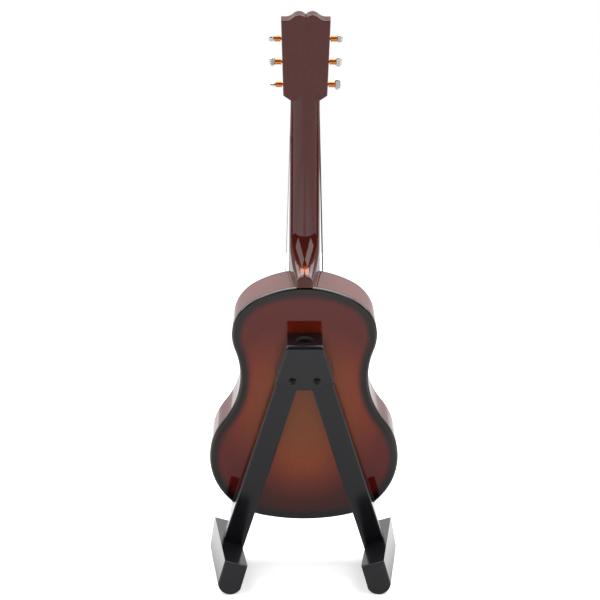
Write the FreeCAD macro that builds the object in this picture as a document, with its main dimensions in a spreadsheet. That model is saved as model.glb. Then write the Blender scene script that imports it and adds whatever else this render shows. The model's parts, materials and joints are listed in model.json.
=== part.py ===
"""Miniature acoustic guitar on a folding A-frame stand.

Everything is worked out in the guitar's own frame: x across, y up the neck, z out of the
front, with z = 0 on the back plate.  SEAT leans that frame back on the stand's feet, which
stand on the floor at world z = 0.  "left" and "right" are as seen from the guitar's front.
"""
import FreeCAD, Part
import math
import os
import Sketcher
from FreeCAD import Vector

doc = FreeCAD.newDocument("GuitarOnStand")
sheet = doc.addObject("Spreadsheet::Sheet", "Sizes")

SIZES = [
    # lean of the whole guitar, spread of each leg and the shift that centres the footprint
    ("lean", 12.3), ("splay", 17.2), ("seat_y", 13.013),
    # body outline: arcs of the lower bout, waist, upper bout, with the heights of their centres
    ("lower_wide", 66.2), ("lower_round", 23.1), ("lower_v", -58.9),
    ("waist_round", 26.6), ("waist_v", -27.7),
    ("upper_round", 15.0), ("upper_v", -12.8),
    ("body_top", 4.9), ("body_bottom", -83.1),
    # body depth, wood thicknesses and rounded plate edges
    ("body_deep", 18.8), ("plate_thick", 1.5), ("rib_thick", 1.6),
    ("back_edge", 0.9), ("front_edge", 0.5),
    ("hole_v", -25.0), ("hole_round", 8.0),
    ("rosette_inner", 8.7), ("rosette_outer", 10.3), ("inlay_deep", 0.3), ("inlay_proud", 0.04),
    ("block_deep", 8.0), ("block_half", 10.0), ("tail_deep", 4.0),
    # neck, heel and cap
    ("nut_v", 64.7), ("nut_setback", 0.1), ("nut_wide", 9.7), ("board_taper", 0.01625),
    ("nut_deep", 4.6), ("nut_belly", 3.2), ("neck_deep", 6.6), ("neck_belly", 5.2),
    ("neck_root", -1.0),
    ("heel_inner_z", 14.0), ("heel_inner_half", 4.9), ("heel_inner_v", 21.0),
    ("heel_upper_z", 10.5), ("heel_upper_half", 4.55), ("heel_upper_v", 15.6),
    ("heel_lower_z", 6.0), ("heel_lower_half", 3.6), ("heel_lower_v", 11.4),
    ("cap_half", 2.75), ("cap_v", 9.0), ("cap_edge", 0.5),
    # headstock: tilt, thickness, outline and crown
    ("head_tilt", 12.5), ("head_thick", 3.9), ("head_low_half", 7.3), ("head_top_half", 8.0),
    ("head_corner", 1.8), ("head_long", 28.4), ("head_edge", 0.3),
    ("hump_x", 2.15), ("hump_rise", 1.85), ("hump_round", 2.7), ("cove_round", 3.6),
    ("blend_past", 0.5), ("blend_front", 0.2),
    # fretboard, frets and dots
    ("board_thick", 1.6), ("board_end", -14.5), ("scale_long", 112.4),
    ("fret_round", 0.32), ("dot_round", 0.65), ("dot_deep", 0.35), ("dot_pair", 2.4),
    # nut, bridge, saddle and bridge pins
    ("nut_thick", 1.4), ("nut_high", 0.7), ("nut_fall", 0.72),
    ("bridge_wide", 26.0), ("bridge_deep", 6.8), ("bridge_thick", 1.7), ("bridge_ahead", 1.9),
    ("bridge_corner", 1.4), ("bridge_edge", 0.4),
    ("saddle_wide", 17.2), ("saddle_thick", 0.9), ("saddle_high", 1.0), ("saddle_sunk", 0.9),
    ("pin_back", 3.1), ("pin_shank", 0.4), ("pin_sunk", 1.2), ("pin_head", 0.68), ("pin_dome", 0.5),
    # strings: spacing at nut and bridge, thickness from the first to the sixth
    ("nut_step", 1.85), ("bridge_step", 3.2), ("string_thin", 0.12), ("string_grow", 0.02),
    ("string_gap", 0.03), ("string_high", 1.2),
    # string posts and bushings
    ("post_x", 4.4), ("post_round", 0.7), ("post_high", 2.2), ("post_sunk", 1.0),
    ("bush_round", 1.3), ("bush_high", 0.4),
    # tuning pegs: stations up the headstock, bore, ribbed barrel, oval button
    ("peg_first", 5.15), ("peg_last", 7.0), ("peg_shaft", 0.55), ("peg_sunk", 1.9),
    ("running", 0.05), ("bore_deep", 2.1), ("barrel_start", 0.35), ("barrel_long", 2.0),
    ("barrel_round", 1.0), ("rib_pitch", 0.5), ("rib_groove", 0.2), ("groove_deep", 0.13),
    ("boss_round", 0.42), ("boss_long", 0.6),
    ("button_long", 3.5), ("button_out", 1.85), ("button_thick", 1.1), ("button_edge", 0.4),
    # stand head, set from the level of its two hinge pins
    ("pin_v", -23.9), ("pin_half", 4.1), ("head_deep", 12.5), ("head_gap", 0.1),
    ("top_half", 5.9), ("top_up", 12.5), ("side_half", 10.15), ("side_down", 0.9),
    ("chin_down", 3.5), ("head_round", 1.5), ("head_soft", 0.5),
    ("slot_front", 1.2), ("slot_deep", 5.2), ("slot_up", 4.6), ("slot_down", 8.0),
    ("stop_gap", 0.02), ("socket_round", 2.35), ("socket_deep", 6.0), ("socket_z", 6.2),
    ("socket_rim", 0.6),
    ("hinge_round", 1.0), ("hinge_stop", 0.75), ("rivet_round", 1.3), ("rivet_dome", 0.65),
    # legs, feet and rest arms
    ("leg_half", 3.8), ("leg_thick", 4.8), ("leg_rear", 6.2), ("leg_offset", 0.5),
    ("leg_drop", 67.7), ("leg_root", 4.0), ("leg_edge", 0.4),
    ("foot_half", 4.0), ("foot_flank", 8.4), ("foot_belly", 2.8), ("foot_out", 0.8),
    ("toe_out", 2.4), ("foot_rear", 16.0), ("foot_toe", 36.6),
    ("toe_kink", 23.4), ("toe_thick", 1.25), ("foot_edge", 0.5),
    ("rest_gap", 0.2), ("arm_half", 3.25), ("arm_gap", 0.35), ("lip_thick", 1.8),
    ("lip_high", 3.0), ("arm_deep", 5.0), ("arm_tip", 3.0),
]
for row, (alias, number) in enumerate(SIZES, start=1):
    sheet.set(f"A{row}", alias)
    sheet.set(f"B{row}", str(number))
    sheet.setAlias(f"B{row}", alias)
doc.recompute()


def value(expression):
    """The plain number an expression on the sheet gives, in mm or degrees."""
    result = sheet.evalExpression(str(expression))
    return float(getattr(result, "Value", result))


def size(alias):
    """One size as the expression that reads it."""
    return f"Sizes.{alias}"


# ---------------------------------------------------------------- frames, as expressions
# The foot runs level when its leg is spread, so it is tipped against the leg by TOE_TILT,
# which also makes up for the toe being turned outwards.
TOE_TILT = ("(atan(tan(Sizes.lean) / cos(Sizes.splay)) + asin(tan(Sizes.toe_out)"
            " * sin(Sizes.splay) / sqrt(cos(Sizes.splay)^2 + tan(Sizes.lean)^2)))")
FOOT_TOP = (f"(-(Sizes.leg_drop * cos({TOE_TILT}) + Sizes.leg_rear * sin({TOE_TILT})))")
FOOT_SHIFT = "(Sizes.leg_offset + Sizes.foot_out)"
# The underside is an arc across the foot, from its half width and how far it bellies out.
FOOT_LOW = f"({FOOT_TOP} - Sizes.foot_flank - Sizes.foot_belly)"
FOOT_ROUND = "((Sizes.foot_half^2 + Sizes.foot_belly^2) / (2 * Sizes.foot_belly))"
# Height of the guitar frame's origin: that arc touches the floor along the whole foot.
# UPRIGHT is how much one unit down the foot's own section falls towards the floor.
UPRIGHT = (f"(cos({TOE_TILT}) * cos(Sizes.splay) * cos(Sizes.lean)"
           f" + sin({TOE_TILT}) * sin(Sizes.lean))")
SEAT_Z = (f"({FOOT_ROUND} - ({FOOT_LOW} + {FOOT_ROUND}) * {UPRIGHT}"
          f" - (Sizes.pin_v + {FOOT_SHIFT} * sin(Sizes.splay)) * cos(Sizes.lean))")
SEAT = (f"placement(vector(0; Sizes.seat_y; {SEAT_Z});"
        " rotation(vector(1; 0; 0); 90 - Sizes.lean))")
# The headstock's frame lies on its front face, at the neck's end.
NECK_END = "(Sizes.nut_v + Sizes.nut_thick + Sizes.nut_setback)"
HEADSTOCK = (f"placement(vector(0; {NECK_END}; Sizes.body_deep);"
             " rotation(vector(1; 0; 0); -Sizes.head_tilt))")
STAND = "placement(vector(0; Sizes.pin_v; 0); rotation(vector(1; 0; 0); 0))"

parts = []


def keep(thing, label, *frames):
    """Name a finished sub-part and seat it through a chain of frames."""
    thing.Label = label
    thing.setExpression("Placement", " * ".join((SEAT,) + frames))
    parts.append(thing)
    return thing


def new_body(name):
    return doc.addObject("PartDesign::Body", "Body_" + name)


def sketch_on(body, plane, name, offset=None, turn=None, axis=(0, 0, 1)):
    """A sketch on one of the body's own origin planes, shifted and turned by expressions."""
    sketch = body.newObject("Sketcher::SketchObject", f"{name}_{body.Name}")
    support = [item for item in body.Origin.OriginFeatures if item.Role == plane][0]
    sketch.AttachmentSupport = (support, "")
    sketch.MapMode = "FlatFace"
    if turn:
        sketch.AttachmentOffset = FreeCAD.Placement(Vector(), FreeCAD.Rotation(Vector(*axis), 1))
        sketch.setExpression("AttachmentOffset.Rotation.Angle", turn)
    for letter, expression in (offset or {}).items():
        sketch.setExpression(f"AttachmentOffset.Base.{letter}", expression)
    return sketch


def dimension(sketch, kind, where, expression):
    """A dimension of the sketch that reads the sheet."""
    number = sketch.addConstraint(Sketcher.Constraint(kind, *where, value(expression)))
    sketch.setExpression(f"Constraints[{number}]", str(expression))


def locate(sketch, element, end, x, y):
    dimension(sketch, "DistanceX", (element, end), x)
    dimension(sketch, "DistanceY", (element, end), y)


def join(sketch, first, first_end, second, second_end):
    sketch.addConstraint(
        Sketcher.Constraint("Coincident", first, first_end, second, second_end))


def add_line(sketch, start, end):
    line = Part.LineSegment(Vector(*start, 0), Vector(*end, 0))
    return sketch.addGeometry(line, False)


def add_arc(sketch, centre, start, end):
    """An arc about a centre, anticlockwise from start to end."""
    first = math.atan2(start[1] - centre[1], start[0] - centre[0])
    last = math.atan2(end[1] - centre[1], end[0] - centre[0])
    if last <= first:
        last += 2 * math.pi
    circle = Part.Circle(Vector(*centre, 0), Vector(0, 0, 1), math.dist(centre, start))
    return sketch.addGeometry(Part.ArcOfCircle(circle, first, last), False)


def polygon(sketch, corners):
    """A closed polygon whose corners are pairs of expressions."""
    spots = [(value(x), value(y)) for x, y in corners]
    lines = [add_line(sketch, spots[i - 1], spots[i]) for i in range(len(spots))]
    for i, (x, y) in enumerate(corners):
        join(sketch, lines[i], 2, lines[(i + 1) % len(lines)], 1)
        locate(sketch, lines[i], 2, x, y)


def circle(sketch, x, y, radius):
    ring = Part.Circle(Vector(value(x), value(y), 0), Vector(0, 0, 1), value(radius))
    element = sketch.addGeometry(ring, False)
    locate(sketch, element, 3, x, y)
    dimension(sketch, "Radius", (element,), radius)


def rounded_bar(sketch, half, flat, spring, crown):
    """A bar across x with a straight end at y = flat and an arc from y = spring to y = crown.

    The arc's radius follows from its half chord and its rise: (half^2 + rise^2) / (2 rise).
    """
    rise = f"({crown} - ({spring}))"
    centre_y = f"({crown} - (({half})^2 + {rise}^2) / (2 * {rise}))"
    wide, low, high = value(half), value(flat), value(spring)
    left = add_line(sketch, (-wide, high), (-wide, low))
    base = add_line(sketch, (-wide, low), (wide, low))
    right = add_line(sketch, (wide, low), (wide, high))
    start, end = (1, 2) if value(rise) < 0 else (2, 1)
    ends = {1: (-wide, high), 2: (wide, high)}
    arc = add_arc(sketch, (0, value(centre_y)), ends[start], ends[end])
    join(sketch, left, 2, base, 1)
    join(sketch, base, 2, right, 1)
    join(sketch, left, 1, arc, start)
    join(sketch, right, 2, arc, end)
    locate(sketch, left, 2, f"-({half})", flat)
    locate(sketch, base, 2, half, flat)
    locate(sketch, left, 1, f"-({half})", spring)
    locate(sketch, right, 2, half, spring)
    dimension(sketch, "DistanceY", (arc, 3), centre_y)


def pad(body, sketch, length, back=None, middle=False, name="Pad"):
    feature = body.newObject("PartDesign::Pad", f"{name}_{body.Name}")
    feature.Profile = sketch
    feature.setExpression("Length", str(length))
    if back:
        feature.SideType = "Two sides"
        feature.setExpression("Length2", str(back))
    if middle:
        feature.SideType = "Symmetric"
    return feature


def pocket(body, sketch, length=None, reverse=False, middle=False, name="Pocket"):
    """A cut into the body; it runs against the sketch's normal unless reversed."""
    before = body.Tip
    doc.recompute()
    feature = body.newObject("PartDesign::Pocket", f"{name}_{body.Name}")
    feature.Profile = sketch
    feature.Reversed = reverse
    if middle:
        feature.SideType = "Symmetric"
    if length is None:
        feature.Type = "ThroughAll"
    else:
        feature.setExpression("Length", str(length))
    doc.recompute()
    if not feature.Shape.Volume < before.Shape.Volume - 1e-6:
        raise RuntimeError(f"{feature.Name} cuts nothing")
    return feature


def loft(body, sketches, name="Loft"):
    feature = body.newObject("PartDesign::AdditiveLoft", f"{name}_{body.Name}")
    feature.Profile = sketches[0]
    feature.Sections = sketches[1:]
    return feature


def soften(body, radius, chosen, name="Fillet"):
    """Round the edges of the body's tip that pass the test."""
    doc.recompute()
    tip = body.Tip
    names = [f"Edge{i}" for i, edge in enumerate(tip.Shape.Edges, start=1) if chosen(edge)]
    feature = body.newObject("PartDesign::Fillet", f"{name}_{body.Name}")
    feature.Base = (tip, names)
    feature.setExpression("Radius", size(radius))
    return feature


def flat_at(edge, letter, level):
    """Whether an edge lies wholly at one level of x, y or z."""
    box = edge.BoundBox
    low, high = getattr(box, letter + "Min"), getattr(box, letter + "Max")
    return abs(low - level) < 1e-3 and abs(high - level) < 1e-3


# ---------------------------------------------------------------- the body's outline
def outline_half(sketch, side, inset=0):
    """Five tangent arcs from the bottom to the top of the body, on one side of its centre line.

    An inset moves the line inwards on the same centres.  The starting places solve the same
    tangencies: centres of touching circles are a sum or a difference of radii apart.
    """
    lower_r = value(f"Sizes.lower_round - ({inset})")
    waist_r = value(f"Sizes.waist_round + ({inset})")
    upper_r = value(f"Sizes.upper_round - ({inset})")
    top, bottom = value(f"Sizes.body_top - ({inset})"), value(f"Sizes.body_bottom + ({inset})")
    lower_v, waist_v, upper_v = value(size("lower_v")), value(size("waist_v")), value(size("upper_v"))
    lower_x = value("Sizes.lower_wide / 2 - Sizes.lower_round")
    waist_x = lower_x + math.sqrt((lower_r + waist_r) ** 2 - (waist_v - lower_v) ** 2)
    upper_x = waist_x - math.sqrt((waist_r + upper_r) ** 2 - (upper_v - waist_v) ** 2)

    def end_radius(x, rise, r):
        return (r ** 2 - x ** 2 - rise ** 2) / (2 * (r - rise))

    base_r = end_radius(lower_x, lower_v - bottom, lower_r)
    crown_r = end_radius(upper_x, top - upper_v, upper_r)
    centres = [(0, bottom + base_r), (lower_x, lower_v), (waist_x, waist_v),
               (upper_x, upper_v), (0, top - crown_r)]

    def beyond(first, second, reach):
        """The spot a given reach past second, on the line from first through second."""
        gap = math.dist(first, second)
        return tuple(b + (b - a) * reach / gap for a, b in zip(first, second))

    joints = [(0, bottom), beyond(centres[0], centres[1], lower_r),
              beyond(centres[2], centres[1], lower_r), beyond(centres[2], centres[3], upper_r),
              beyond(centres[4], centres[3], upper_r), (0, top)]
    joints[2] = beyond(centres[1], centres[2], -waist_r)
    joints[3] = beyond(centres[3], centres[2], -waist_r)
    centres = [(side * x, y) for x, y in centres]
    joints = [(side * x, y) for x, y in joints]

    arcs, lows, highs = [], [], []
    for i, centre in enumerate(centres):
        hollow = i == 2
        rising = (side > 0) != hollow
        spots = (joints[i], joints[i + 1]) if rising else (joints[i + 1], joints[i])
        arcs.append(add_arc(sketch, centre, *spots))
        lows.append(1 if rising else 2)
        highs.append(2 if rising else 1)
    for i in range(4):
        sketch.addConstraint(
            Sketcher.Constraint("Tangent", arcs[i], highs[i], arcs[i + 1], lows[i + 1]))
    for arc, end in ((arcs[0], lows[0]), (arcs[4], highs[4]), (arcs[0], 3), (arcs[4], 3)):
        sketch.addConstraint(Sketcher.Constraint("PointOnObject", arc, end, -2))
    dimension(sketch, "DistanceY", (arcs[0], lows[0]), f"Sizes.body_bottom + ({inset})")
    dimension(sketch, "DistanceY", (arcs[4], highs[4]), f"Sizes.body_top - ({inset})")
    locate(sketch, arcs[1], 3, f"{side} * (Sizes.lower_wide / 2 - Sizes.lower_round)", size("lower_v"))
    dimension(sketch, "DistanceY", (arcs[2], 3), size("waist_v"))
    dimension(sketch, "DistanceY", (arcs[3], 3), size("upper_v"))
    dimension(sketch, "Radius", (arcs[1],), f"Sizes.lower_round - ({inset})")
    dimension(sketch, "Radius", (arcs[2],), f"Sizes.waist_round + ({inset})")
    dimension(sketch, "Radius", (arcs[3],), f"Sizes.upper_round - ({inset})")
    return arcs, lows, highs


def outline(sketch, inset=0):
    outline_half(sketch, 1, inset)
    outline_half(sketch, -1, inset)


FRONT = "(Sizes.body_deep - Sizes.plate_thick)"


# ---------------------------------------------------------------- body of the guitar
def back_plate():
    """Flat back with a rounded outer edge."""
    body = new_body("back_plate")
    sketch = sketch_on(body, "XY_Plane", "outline")
    outline(sketch)
    pad(body, sketch, size("plate_thick"))
    soften(body, "back_edge", lambda edge: flat_at(edge, "Z", 0))
    keep(body, "back_plate")


def rib(label, side):
    """One bent side of the body, from tail to heel."""
    body = new_body(label)
    sketch = sketch_on(body, "XY_Plane", "bend", {"z": size("plate_thick")})
    outer, outer_low, outer_high = outline_half(sketch, side)
    inner, inner_low, inner_high = outline_half(sketch, side, size("rib_thick"))
    for i, outer_end, inner_end in ((0, outer_low[0], inner_low[0]),
                                    (4, outer_high[4], inner_high[4])):
        first = sketch.getPoint(outer[i], outer_end)
        second = sketch.getPoint(inner[i], inner_end)
        line = add_line(sketch, (first.x, first.y), (second.x, second.y))
        join(sketch, line, 1, outer[i], outer_end)
        join(sketch, line, 2, inner[i], inner_end)
    pad(body, sketch, f"{FRONT} - Sizes.plate_thick")
    keep(body, label)


def soundboard():
    """Front plate with its soundhole and the shallow ring the rosette is let into."""
    body = new_body("soundboard")
    sketch = sketch_on(body, "XY_Plane", "outline", {"z": FRONT})
    outline(sketch)
    pad(body, sketch, size("plate_thick"))
    front = value(size("body_deep"))
    soften(body, "front_edge", lambda edge: flat_at(edge, "Z", front))
    hole = sketch_on(body, "XY_Plane", "hole", {"z": size("body_deep")})
    circle(hole, 0, size("hole_v"), size("hole_round"))
    pocket(body, hole, name="Soundhole")
    ring = sketch_on(body, "XY_Plane", "ring", {"z": size("body_deep")})
    circle(ring, 0, size("hole_v"), size("rosette_inner"))
    circle(ring, 0, size("hole_v"), size("rosette_outer"))
    pocket(body, ring, size("inlay_deep"), name="Channel")
    keep(body, "soundboard")


def rosette():
    """Inlaid ring around the soundhole."""
    body = new_body("rosette")
    ring = sketch_on(body, "XY_Plane", "ring", {"z": "Sizes.body_deep - Sizes.inlay_deep"})
    circle(ring, 0, size("hole_v"), size("rosette_inner"))
    circle(ring, 0, size("hole_v"), size("rosette_outer"))
    pad(body, ring, "Sizes.inlay_deep + Sizes.inlay_proud")
    keep(body, "rosette")


def inner_block(label, inner_edge, outer_edge):
    """A block glued between the ribs on the centre line, cut to their inner curve."""
    body = new_body(label)
    sketch = sketch_on(body, "XY_Plane", "curve", {"z": size("plate_thick")})
    outline(sketch, size("rib_thick"))
    pad(body, sketch, f"{FRONT} - Sizes.plate_thick")
    waste = sketch_on(body, "XY_Plane", "waste", {"z": FRONT})
    half, far = size("block_half"), size("lower_wide")
    if value(outer_edge) > value(inner_edge):
        other = "Sizes.body_bottom - Sizes.lower_wide"
    else:
        other = "Sizes.body_top + Sizes.lower_wide"
    polygon(waste, [(f"-{far}", outer_edge), (f"-{half}", outer_edge), (f"-{half}", inner_edge),
                    (half, inner_edge), (half, outer_edge), (far, outer_edge),
                    (far, other), (f"-{far}", other)])
    pocket(body, waste, name="Waste")
    keep(body, label)


# ---------------------------------------------------------------- neck
def half_wide(v):
    """Half the width of neck and fretboard at height v: both widen from the nut to the body."""
    return f"((Sizes.nut_wide + (Sizes.nut_v - ({v})) * Sizes.board_taper) / 2)"


def neck_section(body, name, v, half, front, deep, arc_deep):
    """A cross-section of the neck: flat in front, round behind."""
    sketch = sketch_on(body, "XZ_Plane", name, {"z": f"-({v})"})
    low = f"(({front}) - ({deep}))"
    rounded_bar(sketch, half, front, f"({low} + ({arc_deep}))", low)
    return sketch


def heel_section(body, name, z, half, v):
    """A level slice through the heel, round towards the neck."""
    sketch = sketch_on(body, "XY_Plane", name, {"z": z})
    rounded_bar(sketch, half, size("neck_root"), f"({v} - {half})", v)
    return sketch


def headstock_outline(sketch):
    """Slanted lower corners, widening sides, and a crown of two humps with a notch between."""
    humps = []
    for side in (-1, 1):
        foot_x, low_x, top_x = (f"{side} * {w}" for w in (
            half_wide(NECK_END), size("head_low_half"), size("head_top_half")))
        corners = [(foot_x, "0"), (low_x, size("head_corner")), (top_x, size("head_long"))]
        spots = [(value(x), value(y)) for x, y in corners]
        slant = add_line(sketch, spots[0], spots[1])
        edge = add_line(sketch, spots[1], spots[2])
        join(sketch, slant, 2, edge, 1)
        locate(sketch, slant, 1, *corners[0])
        locate(sketch, edge, 1, *corners[1])
        locate(sketch, edge, 2, *corners[2])

        hump_r, cove_r = value(size("hump_round")), value(size("cove_round"))
        hump = (side * value(size("hump_x")),
                value("Sizes.head_long + Sizes.hump_rise - Sizes.hump_round"))
        reach = hump_r + cove_r
        cove_y = spots[2][1] + cove_r
        cove = (hump[0] + side * math.sqrt(reach ** 2 - (cove_y - hump[1]) ** 2), cove_y)
        meet = tuple(h + (c - h) * hump_r / reach for h, c in zip(hump, cove))
        notch = (0, hump[1] + math.sqrt(hump_r ** 2 - hump[0] ** 2))
        touch = (cove[0], spots[2][1])
        shoulder = add_line(sketch, spots[2], touch)
        if side > 0:
            cove_arc = add_arc(sketch, cove, meet, touch)
            hump_arc = add_arc(sketch, hump, meet, notch)
            ends = (2, 1, 1, 2)
        else:
            cove_arc = add_arc(sketch, cove, touch, meet)
            hump_arc = add_arc(sketch, hump, notch, meet)
            ends = (1, 2, 2, 1)
        join(sketch, edge, 2, shoulder, 1)
        sketch.addConstraint(Sketcher.Constraint("Horizontal", shoulder))
        sketch.addConstraint(Sketcher.Constraint("Tangent", shoulder, 2, cove_arc, ends[0]))
        sketch.addConstraint(Sketcher.Constraint("Tangent", cove_arc, ends[1], hump_arc, ends[2]))
        sketch.addConstraint(Sketcher.Constraint("PointOnObject", hump_arc, ends[3], -2))
        locate(sketch, hump_arc, 3, f"{side} * Sizes.hump_x",
               "Sizes.head_long + Sizes.hump_rise - Sizes.hump_round")
        dimension(sketch, "Radius", (hump_arc,), size("hump_round"))
        dimension(sketch, "Radius", (cove_arc,), size("cove_round"))
        humps.append((slant, spots[0]))
    (left, left_foot), (right, right_foot) = humps
    base = add_line(sketch, left_foot, right_foot)
    join(sketch, base, 1, left, 1)
    join(sketch, base, 2, right, 1)


def peg_station(number):
    """Height of a tuning peg up the headstock: pegs 1 to 3 and 6 to 4 climb its two sides."""
    step = number - 1 if number <= 3 else 6 - number
    return (f"(Sizes.peg_first + {step} / 2"
            " * (Sizes.head_long - Sizes.peg_first - Sizes.peg_last))")


def peg_side(number):
    return 1 if number <= 3 else -1


PEGS = range(1, 7)
HEADSTOCK_SHIFT = {"y": NECK_END, "z": size("body_deep")}
HEADSTOCK_TURN = "-Sizes.head_tilt"


def neck():
    """One carved piece: headstock, rounded shaft and heel, fitted to the body's top edge."""
    body = new_body("neck")
    slab = sketch_on(body, "XY_Plane", "slab", HEADSTOCK_SHIFT, HEADSTOCK_TURN, (1, 0, 0))
    headstock_outline(slab)
    plate = pad(body, slab, size("head_thick"), name="Headstock")
    plate.Reversed = True
    tilt = math.radians(value(size("head_tilt")))
    corner = Vector(0, value(NECK_END), value(size("body_deep")))

    def depth(edge):
        """How far behind the headstock's face the middle of an edge lies."""
        return -(edge.CenterOfMass - corner).dot(Vector(0, math.sin(tilt), math.cos(tilt)))

    for name, level in (("Front_edge", 0), ("Rear_edge", value(size("head_thick")))):
        soften(body, "head_edge", lambda edge: abs(depth(edge) - level) < 0.01
               and abs(edge.CenterOfMass.x) > 0.1, name)
        doc.recompute()
    front, end, root = size("body_deep"), NECK_END, size("neck_root")
    thin, full = size("nut_deep"), size("neck_deep")
    shaft = [neck_section(body, "nut_end", end, half_wide(end), front, thin, size("nut_belly")),
             neck_section(body, "body_end", root, half_wide(root), front, full, size("neck_belly"))]
    loft(body, shaft, "Shaft")
    # the round shaft runs on until it has sunk into the headstock's sloping back
    blend_long = ("((Sizes.nut_deep - Sizes.head_thick / cos(Sizes.head_tilt))"
                  " / tan(Sizes.head_tilt) + Sizes.blend_past)")
    blend = []
    for name, along in (("blend_near", "0"), ("blend_far", blend_long)):
        sunk = f"({along} * tan(Sizes.head_tilt) + Sizes.blend_front)"
        blend.append(neck_section(body, name, f"({end} + {along})", half_wide(end),
                                  f"({front} - {sunk})", f"({thin} - {sunk})", size("nut_belly")))
    loft(body, blend, "Blend")
    heel = [heel_section(body, "heel_inner", size("heel_inner_z"), size("heel_inner_half"),
                         size("heel_inner_v")),
            heel_section(body, "heel_upper", size("heel_upper_z"), size("heel_upper_half"),
                         size("heel_upper_v")),
            heel_section(body, "heel_lower", size("heel_lower_z"), size("heel_lower_half"),
                         size("heel_lower_v")),
            heel_section(body, "heel_cap", size("plate_thick"), size("cap_half"), size("cap_v"))]
    loft(body, heel, "Heel")
    seat = sketch_on(body, "XY_Plane", "seat", {"z": f"{front} + Sizes.plate_thick"})
    outline(seat)
    pocket(body, seat, name="Body_seat")
    # blind bores for the pegs from both edges, and for the string posts from the front
    far_x = "(Sizes.head_top_half + 1)"
    for side in (1, -1):
        shift = {"x": NECK_END, "y": size("body_deep"), "z": f"{side} * {far_x}"}
        edge = sketch_on(body, "YZ_Plane", f"edge_{'right' if side > 0 else 'left'}", shift,
                         HEADSTOCK_TURN)
        for number in PEGS:
            if peg_side(number) == side:
                circle(edge, peg_station(number), "-Sizes.head_thick / 2",
                       "Sizes.peg_shaft + Sizes.running")
        pocket(body, edge, f"{far_x} - (Sizes.head_low_half - Sizes.bore_deep)",
               reverse=side < 0, name="Peg_bores")
    face = sketch_on(body, "XY_Plane", "face", HEADSTOCK_SHIFT, HEADSTOCK_TURN, (1, 0, 0))
    for number in PEGS:
        circle(face, f"{peg_side(number)} * Sizes.post_x", peg_station(number), size("post_round"))
    pocket(body, face, size("post_sunk"), name="Post_holes")
    keep(body, "neck")


def heel_cap():
    """Small plate that closes the heel, level with the back."""
    body = new_body("heel_cap")
    sketch = sketch_on(body, "XY_Plane", "cap")
    rounded_bar(sketch, size("cap_half"), size("neck_root"), "(Sizes.cap_v - Sizes.cap_half)",
                size("cap_v"))
    pad(body, sketch, size("plate_thick"))
    soften(body, "cap_edge", lambda edge: flat_at(edge, "Z", 0)
           and edge.BoundBox.YMax > value(size("neck_root")) + 1)
    seat = sketch_on(body, "XY_Plane", "seat", {"z": size("plate_thick")})
    outline(seat)
    pocket(body, seat, name="Body_seat")
    keep(body, "heel_cap")


# ---------------------------------------------------------------- fretboard
def fret_v(number):
    """Height of a fret on the equal-tempered rule: each twelfth halves what is left."""
    return f"(Sizes.nut_v - Sizes.scale_long * (1 - 2^(-{number} / 12)))"


FRETS = range(1, 21)
SINGLE_DOTS = (3, 5, 7, 9, 15)
DOUBLE_DOT = 12
BOARD_TOP = "(Sizes.body_deep + Sizes.board_thick)"


def dot_places():
    """Centres of the inlaid dots, midway between frets; the octave has a pair."""
    for number in SINGLE_DOTS:
        yield "0", f"({fret_v(number)} + {fret_v(number - 1)}) / 2"
    for side in (-1, 1):
        octave = f"({fret_v(DOUBLE_DOT)} + {fret_v(DOUBLE_DOT - 1)}) / 2"
        yield f"{side} * Sizes.dot_pair", octave


def fretboard():
    """Tapered board glued to the neck and the soundboard, with pockets for the dots."""
    body = new_body("fretboard")
    sketch = sketch_on(body, "XY_Plane", "taper", {"z": size("body_deep")})
    top, end = size("nut_v"), size("board_end")
    polygon(sketch, [(f"-{half_wide(top)}", top), (f"-{half_wide(end)}", end),
                     (half_wide(end), end), (half_wide(top), top)])
    pad(body, sketch, size("board_thick"))
    dots = sketch_on(body, "XY_Plane", "dots", {"z": BOARD_TOP})
    for x, y in dot_places():
        circle(dots, x, y, size("dot_round"))
    pocket(body, dots, size("dot_deep"), name="Dot_pockets")
    keep(body, "fretboard")


def group(label, items):
    """Like pieces kept as one group of separate solids."""
    bundle = doc.addObject("Part::Compound", "Group_" + label)
    bundle.Links = items
    keep(bundle, label)


def position_dots():
    """Small discs let into the fretboard."""
    discs = []
    for x, y in dot_places():
        disc = doc.addObject("Part::Cylinder", "Dot")
        disc.setExpression("Radius", size("dot_round"))
        disc.setExpression("Height", size("dot_deep"))
        disc.setExpression("Placement", f"placement(vector({x}; {y}; {BOARD_TOP} - Sizes.dot_deep);"
                                        " rotation(vector(0; 0; 1); 0))")
        discs.append(disc)
    group("position_dots", discs)


def frets():
    """Half-round wires across the board, each as long as the board is wide there."""
    wires = []
    for number in FRETS:
        v = fret_v(number)
        wire = doc.addObject("Part::Cylinder", "Fret")
        wire.Angle = 180
        wire.setExpression("Radius", size("fret_round"))
        wire.setExpression("Height", f"2 * {half_wide(v)}")
        wire.setExpression("Placement", f"placement(vector(-{half_wide(v)}; {v}; {BOARD_TOP});"
                                        " rotation(vector(1; 1; 1); 120))")
        wires.append(wire)
    group("frets", wires)


def nut():
    """Bone bar at the end of the board; its top falls away towards the headstock."""
    body = new_body("nut")
    sketch = sketch_on(body, "YZ_Plane", "side")
    start, base = size("nut_v"), size("body_deep")
    crest = f"({BOARD_TOP} + Sizes.nut_high)"
    finish = "(Sizes.nut_v + Sizes.nut_thick)"
    polygon(sketch, [(start, base), (finish, base), (finish, f"({crest} - Sizes.nut_fall)"),
                     (start, crest)])
    pad(body, sketch, f"2 * {half_wide(start)}", middle=True)
    keep(body, "nut")


# ---------------------------------------------------------------- bridge
SADDLE_V = "(Sizes.nut_v - Sizes.scale_long)"
PIN_LINE = f"({SADDLE_V} - Sizes.pin_back)"
BRIDGE_TOP = "(Sizes.body_deep + Sizes.bridge_thick)"


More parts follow.
